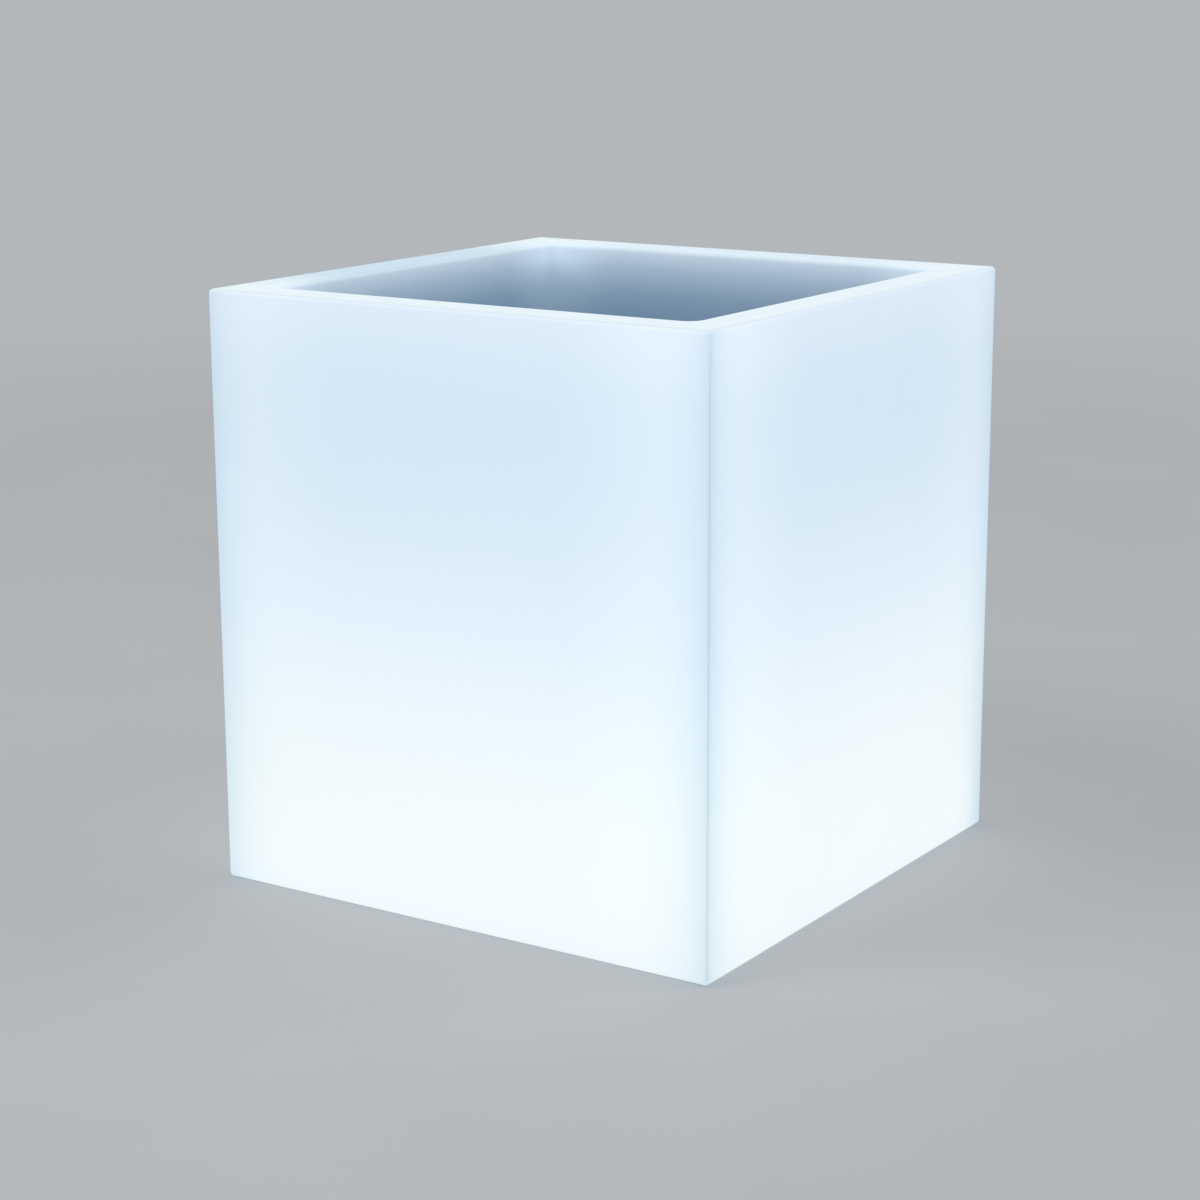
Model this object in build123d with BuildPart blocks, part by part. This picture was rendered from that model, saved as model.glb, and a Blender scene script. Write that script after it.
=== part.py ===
from build123d import *
import os
from math import ceil, cos, pi, radians, sin, sqrt, tan

# A lit cube planter: a double-walled moulding whose pot opens upwards, with a rechargeable
# light unit screwed into its underside. It stands on z = 0. All sizes are in millimetres.

# Planter moulding
WIDTH = 380.0
DEPTH = 380.0
HEIGHT = 400.0  # of the moulding, which stands on its feet
SKIN = 5.0  # moulded wall
RIM = 30.0  # from an outer face to the pot
OUTER_EDGE = 3.0
HOLLOW_CORNER = 8.0
LIP_EDGE = 3.0
POT_DEPTH = 285.0
POT_CORNER = 8.0
POT_FLOOR_EDGE = 7.0
POT_DRAFT = 1.5  # degrees
UNDERSIDE_EDGE = 1.5

# Drain and its bung
DRAIN_BORE = 22.0
DRAIN_INSET = 38.0  # from the pot's walls at its floor
SUMP_DIAMETER = 60.0
SUMP_DEPTH = 1.5
BUNG_CLEARANCE = 0.4
BUNG_CAP = 36.0
BUNG_CAP_THICKNESS = 4.0
BUNG_STEM = 14.0
BUNG_TAPER = 1.2
PULL_RING = 20.0
PULL_RING_SECTION = 4.0
PULL_RING_STALK = 5.0

# Feet
FOOT_DIAMETER = 40.0
FOOT_PROUD = 1.0
FOOT_SOCKET_DEPTH = 6.0
FOOT_CLEARANCE = 0.5
FOOT_INSET = 34.0  # from the outer faces to a foot's axis
FOOT_EDGE = 1.2
FOOT_BORE = 18.0
FOOT_WEB = 2.5  # rubber left under the washer
FOOT_WASHER = 16.0
FOOT_WASHER_THICKNESS = 1.2
FOOT_SCREW = 5.0
FOOT_SCREW_LENGTH = 18.0
FOOT_SCREW_HEAD = 9.5
FOOT_SCREW_HEAD_HEIGHT = 1.8
FOOT_BOSS = 16.0
FOOT_BOSS_HEIGHT = 20.0

# Light unit: housing
RECESS_DEPTH = 12.0
GASKET_THICKNESS = 2.0
FLANGE_THICKNESS = 5.0
FLANGE_MARGIN = 9.0  # beyond the circle of screws
FLANGE_CLEARANCE = 3.0
FLANGE_EDGE = 1.5
CUP_DIAMETER = 132.0
CUP_HEIGHT = 42.0
CUP_WALL = 3.5
CUP_LIP = 7.0
CUP_LIP_THICKNESS = 5.0
CUP_RIB = 2.5
CUP_RIB_COUNT = 6
MOUTH_CLEARANCE = 2.0
SCREW_LAND = 11.0  # from the mouth to the circle of screws

# Light unit: its fastening
UNIT_SCREW_COUNT = 6
UNIT_SCREW = 5.0
UNIT_SCREW_LENGTH = 16.0
UNIT_SCREW_HEAD = 9.0
UNIT_SCREW_HEAD_HEIGHT = 2.8
UNIT_WASHER = 11.0
UNIT_WASHER_THICKNESS = 1.0
INSERT_DIAMETER = 8.0
INSERT_LENGTH = 11.0
INSERT_BOSS = 15.0
INSERT_BOSS_HEIGHT = 12.0
INSERT_GROOVE = 0.4
FIT = 0.05  # threads, inserts and shanks
HOLE_CLEARANCE = 0.3

# Light unit: dome and LED board
DOME_RISE = 12.0
DOME_WALL = 2.5
DOME_FLANGE = 3.0
SEAL_SECTION = 2.0
SEAL_GROOVE_DEPTH = 1.6
SEAL_GROOVE_INSET = 2.6  # from the cup's inner wall to the groove's middle
DOME_SCREW_COUNT = 6
DOME_SCREW = 2.5
DOME_SCREW_LENGTH = 7.0
DOME_SCREW_HEAD = 4.4
DOME_SCREW_HEAD_HEIGHT = 1.6
DOME_SCREW_INSET = 3.2  # from the lip's edge
BOARD_THICKNESS = 1.6
LED_BOARD_CLEARANCE = 2.5
LED_BOARD_SETBACK = 5.0  # below the cup's rim
LED_POST = 7.0
LED_POST_INSET = 5.0  # from the LED board's edge
LED_POST_COUNT = 3
LED_SIZE = 5.0
LED_THICKNESS = 1.6
LED_OUTER_RING = 88.0
LED_OUTER_COUNT = 16
LED_INNER_RING = 48.0
LED_INNER_COUNT = 8
SMALL_SCREW = 2.5
SMALL_SCREW_LENGTH = 6.0
SMALL_SCREW_HEAD = 4.4
SMALL_SCREW_HEAD_HEIGHT = 1.6

# Light unit: cells
CELL_DIAMETER = 18.4
CELL_LENGTH = 65.0
CELL_EDGE = 1.0
CELL_PITCH = 19.2
CELL_FLOOR_GAP = 1.0
CELL_CLEARANCE = 0.15
CELLS_Y = 2.0
CRADLE_SPACING = 40.0
CRADLE_RIB = 2.4
CRADLE_WRAP = 5.0  # how far the ribs stay below the cells' axes
LINK_THICKNESS = 0.3
LINK_WIDTH = 7.0
CLAMP_WIDTH = 12.0
CLAMP_THICKNESS = 2.0
CLAMP_POST = 6.0
CLAMP_POST_GAP = 0.5
CLAMP_OVERHANG = 1.0

# Light unit: control board
CONTROL_WIDTH = 64.0
CONTROL_DEPTH = 22.0
CONTROL_Y = 39.5
CONTROL_POST = 6.0
CONTROL_POST_HEIGHT = 6.0
CONTROL_POST_INSET = 4.0
PLUG_SPACING = 16.0
PLUG_WIDTH = 8.5
PLUG_DEPTH = 5.0
SOCKET_HEIGHT = 4.5
PLUG_HEIGHT = 5.0
CHIP_SIZE = 7.0
CHIP_THICKNESS = 1.0
COIL_DIAMETER = 6.0
COIL_HEIGHT = 3.2
CAPACITOR_DIAMETER = 5.0
CAPACITOR_HEIGHT = 6.5
PART_ROW = 6.5  # from the board's middle to its row of parts
PART_SPACING = 12.0

# Light unit: well with the inlet, the charge light and the switch
WELL_DEPTH = 7.0
WELL_PANEL = 3.0
WELL_WALL = 3.0
WELL_WIDTH = 30.0
WELL_Y = -36.0
INLET_X = -24.0
SWITCH_X = 24.0
LIGHT_X = 4.0
SEAL_THICKNESS = 1.0
THREAD_CLEARANCE = 0.1

# Charging inlet and its flap
JACK_THREAD = 11.0
JACK_BEZEL = 15.0
JACK_BEZEL_THICKNESS = 2.0
JACK_HEIGHT = 17.0  # above the bezel
JACK_BORE = 6.4
JACK_BORE_DEPTH = 9.5
JACK_PIN = 2.0
JACK_PIN_SETBACK = 4.5
JACK_NUT = 14.0
NUT_THICKNESS = 2.5
TAG_WIDTH = 2.4
TAG_THICKNESS = 0.6
TAG_LENGTH = 3.0
FLAP_GAP = 0.3
FLAP_THICKNESS = 2.0
FLAP_DIAMETER = 17.0
FLAP_STRAP = 8.0
FLAP_REACH = 11.0  # from the inlet's axis to the hinge
FLAP_TAB = 6.0
FLAP_TAB_REACH = 9.0
FLAP_PIN = 5.2
FLAP_PIN_TIP = 4.0
FLAP_PIN_LENGTH = 4.0
ANCHOR_LENGTH = 11.0
ANCHOR_BOSS = 7.0
ANCHOR_STEM = 4.0
ANCHOR_HEAD = 5.4
ANCHOR_HEAD_HEIGHT = 1.6

# Push switch
SWITCH_THREAD = 16.0
SWITCH_BEZEL = 21.0
SWITCH_BEZEL_THICKNESS = 2.5
SWITCH_HEIGHT = 17.0  # above the bezel
SWITCH_NUT = 20.0
BUTTON_DIAMETER = 10.0
BUTTON_PROUD = 1.5  # and how far it can be pressed
BUTTON_CLEARANCE = 0.3
COLLAR_DIAMETER = 12.2
COLLAR_THICKNESS = 2.0
SHOULDER = 1.5  # bezel left below the collar
STEM_DIAMETER = 5.0
STEM_LENGTH = 4.5
SPRING_ROOM = 10.5
SPRING_WIRE = 0.8
SPRING_DIAMETER = 8.6  # to the middle of the wire
SPRING_TURNS = 4
SPRING_END = 0.05  # from the spring's ends to what they press on
SPRING_SAMPLES = 240

# Charge light
LIGHT_DIAMETER = 5.0
LIGHT_FLANGE = 7.0
LIGHT_FLANGE_THICKNESS = 1.0
LIGHT_LENGTH = 8.0

# Wires inside the light unit
LEAD_DIAMETER = 1.4
LEAD_PITCH = 4.0
LEADS_RISE = 2.0  # above the middle of the room over the cells
LEAD_SWAY = 1.0  # that a lead wanders on its way
LEAD_SPAN = 13.0  # to either side of the cells' middle, where the leads cross them
SWITCH_LEAD_SHIFT = 6.0
LED_LEAD_RUN = 6.5
LED_LEAD_STEP = 12.0  # aside, from the plug to below the LED board
BATTERY_LEAD_OUT = 8.0  # from the links
FRONT_LEAD_OUT = 3.0  # further out than the other
BATTERY_LEAD_CLIMB = 9.0
BATTERY_LEAD_DIP = 1.5  # below or above the other leads
PLUG_APPROACH = 7.5  # level run into the bend over the plug
BEND_SHARE = 0.45  # of the shorter run that a bend takes up


# Heights
body_base = FOOT_PROUD
rim_top = body_base + HEIGHT
pot_floor = rim_top - POT_DEPTH
recess_top = body_base + RECESS_DEPTH
shelf_top = recess_top + SKIN
flange_top = recess_top - GASKET_THICKNESS
flange_bottom = flange_top - FLANGE_THICKNESS
cup_top = flange_top + CUP_HEIGHT
led_board_top = cup_top - LED_BOARD_SETBACK
led_board_bottom = led_board_top - BOARD_THICKNESS
cell_axis = flange_top + CELL_FLOOR_GAP + CELL_DIAMETER / 2
clamp_bottom = cell_axis + CELL_DIAMETER / 2 + CELL_CLEARANCE
control_bottom = flange_top + CONTROL_POST_HEIGHT
control_top = control_bottom + BOARD_THICKNESS
plug_top = control_top + SOCKET_HEIGHT + PLUG_HEIGHT
panel_bottom = flange_bottom + WELL_DEPTH
panel_top = panel_bottom + WELL_PANEL
bezel_top = panel_bottom - SEAL_THICKNESS

# Radii about the light unit's axis
cup_radius = CUP_DIAMETER / 2
cup_inside = cup_radius - CUP_WALL
lip_radius = cup_radius + CUP_LIP
mouth_radius = lip_radius + MOUTH_CLEARANCE
screw_circle = mouth_radius + SCREW_LAND
flange_radius = screw_circle + FLANGE_MARGIN
recess_radius = flange_radius + FLANGE_CLEARANCE
seal_circle = cup_inside + SEAL_GROOVE_INSET
dome_screw_circle = lip_radius - DOME_SCREW_INSET
led_board_radius = cup_inside - LED_BOARD_CLEARANCE
led_post_circle = led_board_radius - LED_POST_INSET
led_post_start = 30.0

# Places
pot_width = WIDTH - 2 * RIM
pot_depth = DEPTH - 2 * RIM
pot_lean = POT_DEPTH * tan(radians(POT_DRAFT))
drain_place = (DRAIN_INSET + pot_lean - pot_width / 2, pot_depth / 2 - pot_lean - DRAIN_INSET)
foot_places = [
    (x * (WIDTH / 2 - FOOT_INSET), y * (DEPTH / 2 - FOOT_INSET)) for x in (-1, 1) for y in (-1, 1)
]
cell_places = (CELLS_Y - CELL_PITCH / 2, CELLS_Y + CELL_PITCH / 2)
clamp_reach = (CELL_PITCH + CELL_DIAMETER + CLAMP_POST) / 2 + CLAMP_POST_GAP
clamp_places = [(0, CELLS_Y + side * clamp_reach) for side in (-1, 1)]
control_post_places = [
    (
        x * (CONTROL_WIDTH / 2 - CONTROL_POST_INSET),
        CONTROL_Y + y * (CONTROL_DEPTH / 2 - CONTROL_POST_INSET),
    )
    for x in (-1, 1)
    for y in (-1, 1)
]
plug_places = [((i - 1.5) * PLUG_SPACING, CONTROL_Y) for i in range(4)]
inlet_place = (INLET_X, WELL_Y)
switch_place = (SWITCH_X, WELL_Y)
light_place = (LIGHT_X, WELL_Y)


# Planter body: outer faces, rim, pot and underside in one skin
def pot_size(length, z, growth=0.0):
    """A side of the pot at a height, grown by so much all round."""
    return length + 2 * growth - 2 * (rim_top - z) * tan(radians(POT_DRAFT))


with BuildPart() as planter_body:
    with BuildSketch(Plane.XY.offset(body_base)):
        Rectangle(WIDTH, DEPTH)
    extrude(amount=HEIGHT)
    fillet(planter_body.edges(), OUTER_EDGE)
    # the lit hollow
    with BuildSketch(Plane.XY.offset(body_base + SKIN)):
        RectangleRounded(WIDTH - 2 * SKIN, DEPTH - 2 * SKIN, HOLLOW_CORNER)
    extrude(amount=HEIGHT - 2 * SKIN, mode=Mode.SUBTRACT)
    # the pot's wall and floor hang in the hollow
    for z in (rim_top, pot_floor - SKIN):
        with BuildSketch(Plane.XY.offset(z)):
            RectangleRounded(
                pot_size(pot_width, z, SKIN), pot_size(pot_depth, z, SKIN), POT_CORNER + SKIN
            )
    loft(ruled=True)
    # pan over the light unit's recess, drain tube and foot sockets
    with BuildSketch(Plane.XY.offset(body_base)):
        Circle(recess_radius + SKIN)
    extrude(amount=shelf_top - body_base)
    with BuildSketch(Plane.XY.offset(body_base)):
        with Locations(drain_place):
            Circle(DRAIN_BORE / 2 + SKIN)
    extrude(amount=pot_floor - SKIN / 2 - body_base)
    with BuildSketch(Plane.XY.offset(body_base)):
        with Locations(*foot_places):
            Circle(FOOT_DIAMETER / 2 + FOOT_CLEARANCE + SKIN)
    extrude(amount=FOOT_SOCKET_DEPTH + SKIN)
    with BuildSketch(Plane.XY.offset(body_base + FOOT_SOCKET_DEPTH)):
        with Locations(*foot_places):
            Circle(FOOT_BOSS / 2)
    extrude(amount=FOOT_BOSS_HEIGHT)
    with BuildSketch(Plane.XY.offset(recess_top)):
        with PolarLocations(screw_circle, UNIT_SCREW_COUNT):
            Circle(INSERT_BOSS / 2)
    extrude(amount=SKIN + INSERT_BOSS_HEIGHT)
    # the pot
    for z in (rim_top, pot_floor):
        with BuildSketch(Plane.XY.offset(z)):
            RectangleRounded(pot_size(pot_width, z), pot_size(pot_depth, z), POT_CORNER)
    loft(ruled=True, mode=Mode.SUBTRACT)
    fillet(planter_body.faces().sort_by(Axis.Z)[-1].inner_wires()[0].edges(), LIP_EDGE)
    floor = planter_body.faces().filter_by(Plane.XY).filter_by_position(
        Axis.Z, pot_floor - FIT, pot_floor + FIT
    )
    fillet(floor[0].outer_wire().edges(), POT_FLOOR_EDGE)
    # sump and drain
    with Locations((*drain_place, pot_floor)):
        Cone(
            DRAIN_BORE / 2,
            SUMP_DIAMETER / 2,
            SUMP_DEPTH,
            align=(Align.CENTER, Align.CENTER, Align.MAX),
            mode=Mode.SUBTRACT,
        )
    with BuildSketch(Plane.XY.offset(body_base)):
        with Locations(drain_place):
            Circle(DRAIN_BORE / 2)
    extrude(amount=POT_DEPTH, mode=Mode.SUBTRACT)
    # recess, mouth and insert holes
    with BuildSketch(Plane.XY.offset(body_base)):
        Circle(recess_radius)
    extrude(amount=RECESS_DEPTH, mode=Mode.SUBTRACT)
    with BuildSketch(Plane.XY.offset(recess_top)):
        Circle(mouth_radius)
    extrude(amount=SKIN, mode=Mode.SUBTRACT)
    with BuildSketch(Plane.XY.offset(recess_top)):
        with PolarLocations(screw_circle, UNIT_SCREW_COUNT):
            Circle(INSERT_DIAMETER / 2 + FIT)
    extrude(amount=INSERT_LENGTH + UNIT_SCREW, mode=Mode.SUBTRACT)
    # foot sockets and pilot holes
    with BuildSketch(Plane.XY.offset(body_base)):
        with Locations(*foot_places):
            Circle(FOOT_DIAMETER / 2 + FOOT_CLEARANCE)
    extrude(amount=FOOT_SOCKET_DEPTH, mode=Mode.SUBTRACT)
    with BuildSketch(Plane.XY.offset(body_base + FOOT_SOCKET_DEPTH)):
        with Locations(*foot_places):
            Circle(FOOT_SCREW / 2 + FIT)
    extrude(amount=FOOT_SCREW_LENGTH, mode=Mode.SUBTRACT)
    underside_edges = planter_body.edges().filter_by(GeomType.CIRCLE).filter_by_position(
        Axis.Z, body_base - FIT, body_base + FIT
    )
    fillet(underside_edges, UNDERSIDE_EDGE)


# Fasteners
def socket_screw(diameter, length, head, head_height):
    """A screw that points up, with the underside of its head at z = 0."""
    with BuildPart() as screw:
        with BuildSketch():
            Circle(diameter / 2)
        extrude(amount=length)
        chamfer(screw.edges().sort_by(Axis.Z)[-1], diameter / 8)
        with BuildSketch():
            Circle(head / 2)
        extrude(amount=-head_height)
        fillet(screw.edges().sort_by(Axis.Z)[0], head_height / 3)
        with BuildSketch(Plane.XY.offset(-head_height)):
            RegularPolygon(diameter / 3, 6)
        extrude(amount=head_height / 2, mode=Mode.SUBTRACT)
    return screw.part


def washers(places, z, thickness, outside, inside):
    """Flat washers that lie with their lower faces at z."""
    with BuildPart() as rings:
        with BuildSketch(Plane.XY.offset(z)):
            with places:
                Circle(outside / 2)
                Circle(inside / 2, mode=Mode.SUBTRACT)
        extrude(amount=thickness)
    return rings.part


def hex_nut(place, z, across_flats, thickness, bore):
    """A thin nut round a threaded barrel, with its lower face at z."""
    with BuildPart() as nut:
        with BuildSketch(Plane.XY.offset(z)):
            with Locations(place):
                RegularPolygon(across_flats / 2, 6, major_radius=False)
                Circle(bore / 2, mode=Mode.SUBTRACT)
        extrude(amount=thickness)
    return nut.part


# Feet
foot_seat = body_base + FOOT_SOCKET_DEPTH
foot_washer_bottom = foot_seat - FOOT_WEB - FOOT_WASHER_THICKNESS

with BuildPart() as rubber_feet:
    with BuildSketch():
        with Locations(*foot_places):
            Circle(FOOT_DIAMETER / 2)
    extrude(amount=foot_seat)
    fillet(rubber_feet.edges().group_by(Axis.Z)[0], FOOT_EDGE)
    with BuildSketch():
        with Locations(*foot_places):
            Circle(FOOT_BORE / 2)
    extrude(amount=foot_seat - FOOT_WEB, mode=Mode.SUBTRACT)
    with BuildSketch(Plane.XY.offset(foot_seat - FOOT_WEB)):
        with Locations(*foot_places):
            Circle(FOOT_SCREW / 2 + HOLE_CLEARANCE)
    extrude(amount=FOOT_WEB, mode=Mode.SUBTRACT)

with BuildPart() as foot_washers:
    add(
        washers(
            Locations(*foot_places),
            foot_washer_bottom,
            FOOT_WASHER_THICKNESS,
            FOOT_WASHER,
            FOOT_SCREW + 2 * HOLE_CLEARANCE,
        )
    )

with BuildPart() as foot_screws:
    with Locations(*[(x, y, foot_washer_bottom) for x, y in foot_places]):
        add(socket_screw(FOOT_SCREW, FOOT_SCREW_LENGTH, FOOT_SCREW_HEAD, FOOT_SCREW_HEAD_HEIGHT))


# Drain bung: a tapered stem, a cap that seals on the sump and a pull ring
bung_cap_bottom = pot_floor
stem_top_radius = DRAIN_BORE / 2 - BUNG_CLEARANCE
ring_centre = bung_cap_bottom + BUNG_CAP_THICKNESS + PULL_RING_STALK + PULL_RING / 2
ring_plane = Plane.XZ.offset(-drain_place[1])

with BuildPart() as drain_plug:
    with BuildSketch(Plane.XY.offset(bung_cap_bottom)):
        with Locations(drain_place):
            Circle(BUNG_CAP / 2)
    extrude(amount=BUNG_CAP_THICKNESS)
    fillet(drain_plug.edges().sort_by(Axis.Z)[-1], BUNG_CAP_THICKNESS / 3)
    with Locations((*drain_place, bung_cap_bottom)):
        Cone(
            stem_top_radius - BUNG_TAPER,
            stem_top_radius,
            BUNG_STEM,
            align=(Align.CENTER, Align.CENTER, Align.MAX),
        )
    fillet(drain_plug.edges().sort_by(Axis.Z)[0], BUNG_TAPER)
    with BuildSketch(ring_plane):
        with Locations((drain_place[0], ring_centre)):
            Circle(PULL_RING / 2)
        with Locations((drain_place[0], ring_centre - PULL_RING / 2)):
            Rectangle(PULL_RING / 2, 2 * PULL_RING_STALK)
        with Locations((drain_place[0], ring_centre)):
            Circle(PULL_RING / 2 - PULL_RING_SECTION, mode=Mode.SUBTRACT)
    extrude(amount=PULL_RING_SECTION / 2, both=True)
    ring_edges = drain_plug.edges().filter_by(GeomType.CIRCLE).filter_by_position(
        Axis.Z, ring_centre - PULL_RING_SECTION, ring_centre + PULL_RING
    )
    chamfer(ring_edges, PULL_RING_SECTION / 5)


# Light unit: fastening in the planter
unit_screw_places = PolarLocations(screw_circle, UNIT_SCREW_COUNT)
unit_screw_hole = UNIT_SCREW + 2 * HOLE_CLEARANCE
unit_washer_bottom = flange_bottom - UNIT_WASHER_THICKNESS

with BuildPart() as body_inserts:
    with BuildSketch(Plane.XY.offset(recess_top)):
        with PolarLocations(screw_circle, UNIT_SCREW_COUNT):
            Circle(INSERT_DIAMETER / 2)
            Circle(UNIT_SCREW / 2 + FIT, mode=Mode.SUBTRACT)
    extrude(amount=INSERT_LENGTH)
    # groove that the moulding grips
    with BuildSketch(Plane.XY.offset(recess_top + INSERT_LENGTH / 3)):
        with PolarLocations(screw_circle, UNIT_SCREW_COUNT):
            Circle(INSERT_DIAMETER / 2)
            Circle(INSERT_DIAMETER / 2 - INSERT_GROOVE, mode=Mode.SUBTRACT)
    extrude(amount=INSERT_LENGTH / 3, mode=Mode.SUBTRACT)

with BuildPart() as flange_gasket:
    with BuildSketch(Plane.XY.offset(flange_top)):
        Circle(flange_radius)
        Circle(mouth_radius, mode=Mode.SUBTRACT)
        with PolarLocations(screw_circle, UNIT_SCREW_COUNT):
            Circle(unit_screw_hole / 2, mode=Mode.SUBTRACT)
    extrude(amount=GASKET_THICKNESS)

with BuildPart() as flange_washers:
    add(
        washers(
            unit_screw_places,
            unit_washer_bottom,
            UNIT_WASHER_THICKNESS,
            UNIT_WASHER,
            unit_screw_hole,
        )
    )

with BuildPart() as flange_screws:
    with Locations(Plane.XY.offset(unit_washer_bottom)):
        with PolarLocations(screw_circle, UNIT_SCREW_COUNT):
            add(
                socket_screw(
                    UNIT_SCREW, UNIT_SCREW_LENGTH, UNIT_SCREW_HEAD, UNIT_SCREW_HEAD_HEIGHT
                )
            )


# Light unit: housing, a flange that carries a cup
rib_reach = CUP_LIP / 2

with BuildPart() as unit_housing:
    with BuildSketch(Plane.XY.offset(flange_bottom)):
        Circle(flange_radius)
    extrude(amount=FLANGE_THICKNESS)
    fillet(unit_housing.edges().sort_by(Axis.Z)[0], FLANGE_EDGE)
    with BuildSketch(Plane.XY.offset(flange_top)):
        Circle(cup_radius)
        with PolarLocations(cup_radius, CUP_RIB_COUNT):
            Rectangle(2 * rib_reach, CUP_RIB)
        Circle(cup_inside, mode=Mode.SUBTRACT)
    extrude(amount=CUP_HEIGHT)
    with BuildSketch(Plane.XY.offset(cup_top)):
        Circle(lip_radius)
        Circle(cup_inside, mode=Mode.SUBTRACT)
    extrude(amount=-CUP_LIP_THICKNESS)
    # well over the inlet and the switch, posts and cradle
    with BuildSketch(Plane.XY.offset(flange_bottom)):
        with Locations((0, WELL_Y)):
            SlotCenterToCenter(SWITCH_X - INLET_X, WELL_WIDTH + 2 * WELL_WALL)
    extrude(amount=panel_top - flange_bottom)
    with BuildSketch(Plane.XY.offset(flange_top)):
        with PolarLocations(led_post_circle, LED_POST_COUNT, led_post_start):
            Circle(LED_POST / 2)
    extrude(amount=led_board_bottom - flange_top)
    with BuildSketch(Plane.XY.offset(flange_top)):
        with Locations(*control_post_places):
            Circle(CONTROL_POST / 2)
    extrude(amount=CONTROL_POST_HEIGHT)
    with BuildSketch(Plane.XY.offset(flange_top)):
        with Locations(*clamp_places):
            Circle(CLAMP_POST / 2)
    extrude(amount=clamp_bottom - flange_top)
    with BuildSketch(Plane.XY.offset(flange_top)):
        with Locations((0, CELLS_Y)):
            with GridLocations(CRADLE_SPACING, 0, 2, 1):
                Rectangle(CRADLE_RIB, CELL_PITCH + CELL_DIAMETER)
    extrude(amount=cell_axis - CRADLE_WRAP - flange_top)
    with BuildSketch(Plane.YZ):
        with Locations(*[(y, cell_axis) for y in cell_places]):
            Circle(CELL_DIAMETER / 2 + CELL_CLEARANCE)
    extrude(amount=CELL_LENGTH / 2, both=True, mode=Mode.SUBTRACT)
    # well's hollow and the holes in its panel
    with BuildSketch(Plane.XY.offset(flange_bottom)):
        with Locations((0, WELL_Y)):
            SlotCenterToCenter(SWITCH_X - INLET_X, WELL_WIDTH)
    extrude(amount=WELL_DEPTH, mode=Mode.SUBTRACT)
    with BuildSketch(Plane.XY.offset(panel_bottom)):
        with Locations(inlet_place):
            Circle(JACK_THREAD / 2 + THREAD_CLEARANCE)
        with Locations(switch_place):
            Circle(SWITCH_THREAD / 2 + THREAD_CLEARANCE)
        with Locations(light_place):
            Circle(LIGHT_DIAMETER / 2 + THREAD_CLEARANCE)
        with Locations((INLET_X + FLAP_REACH + ANCHOR_BOSS, WELL_Y)):
            Circle(ANCHOR_STEM / 2 + THREAD_CLEARANCE)
    extrude(amount=WELL_PANEL, mode=Mode.SUBTRACT)
    # holes for the flange screws, seal groove and screw holes from above
    with BuildSketch(Plane.XY.offset(flange_bottom)):
        with PolarLocations(screw_circle, UNIT_SCREW_COUNT):
            Circle(unit_screw_hole / 2)
    extrude(amount=FLANGE_THICKNESS, mode=Mode.SUBTRACT)
    with BuildSketch(Plane.XY.offset(cup_top)):
        Circle(seal_circle + SEAL_SECTION / 2 + FIT)
        Circle(seal_circle - SEAL_SECTION / 2 - FIT, mode=Mode.SUBTRACT)
    extrude(amount=-SEAL_GROOVE_DEPTH, mode=Mode.SUBTRACT)
    with BuildSketch(Plane.XY.offset(cup_top)):
        with PolarLocations(dome_screw_circle, DOME_SCREW_COUNT):
            Circle(DOME_SCREW / 2 + FIT)
    extrude(amount=-CUP_LIP_THICKNESS, mode=Mode.SUBTRACT)
    with BuildSketch(Plane.XY.offset(led_board_bottom)):
        with PolarLocations(led_post_circle, LED_POST_COUNT, led_post_start):
            Circle(SMALL_SCREW / 2 + FIT)
    extrude(amount=-SMALL_SCREW_LENGTH, mode=Mode.SUBTRACT)
    with BuildSketch(Plane.XY.offset(control_bottom)):
        with Locations(*control_post_places):
            Circle(SMALL_SCREW / 2 + FIT)
    extrude(amount=-CONTROL_POST_HEIGHT, mode=Mode.SUBTRACT)
    with BuildSketch(Plane.XY.offset(clamp_bottom)):
        with Locations(*clamp_places):
            Circle(SMALL_SCREW / 2 + FIT)
    extrude(amount=-SMALL_SCREW_LENGTH, mode=Mode.SUBTRACT)


# Light unit: frosted dome and its seal
dome_top = cup_top + DOME_FLANGE

with BuildPart() as lens_cover:
    with BuildSketch(Plane.XZ):
        with BuildLine():
            Polyline((0, dome_top + DOME_RISE - DOME_WALL), (0, dome_top + DOME_RISE))
            TangentArc((0, dome_top + DOME_RISE), (cup_inside, dome_top), tangent=(1, 0))
            Polyline(
                (cup_inside, dome_top),
                (lip_radius, dome_top),
                (lip_radius, cup_top),
                (cup_inside - DOME_WALL, cup_top),
                (cup_inside - DOME_WALL, dome_top - DOME_WALL),
            )
            TangentArc(
                (0, dome_top + DOME_RISE - DOME_WALL),
                (cup_inside - DOME_WALL, dome_top - DOME_WALL),
                tangent=(1, 0),
            )
        make_face()
    revolve(axis=Axis.Z)
    with BuildSketch(Plane.XY.offset(cup_top)):
        with PolarLocations(dome_screw_circle, DOME_SCREW_COUNT):
            Circle(DOME_SCREW / 2 + HOLE_CLEARANCE)
    extrude(amount=DOME_FLANGE, mode=Mode.SUBTRACT)

with BuildPart() as lens_seal:
    with BuildSketch(Plane.XZ):
        with Locations((seal_circle, cup_top - SEAL_GROOVE_DEPTH / 2)):
            RectangleRounded(SEAL_SECTION, SEAL_GROOVE_DEPTH, SEAL_SECTION / 4)
    revolve(axis=Axis.Z)

with BuildPart() as lens_screws:
    with Locations(Plane.XY.offset(dome_top)):
        with PolarLocations(dome_screw_circle, DOME_SCREW_COUNT):
            add(
                socket_screw(
                    DOME_SCREW, DOME_SCREW_LENGTH, DOME_SCREW_HEAD, DOME_SCREW_HEAD_HEIGHT
                ),
                rotation=(180, 0, 0),
            )


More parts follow.
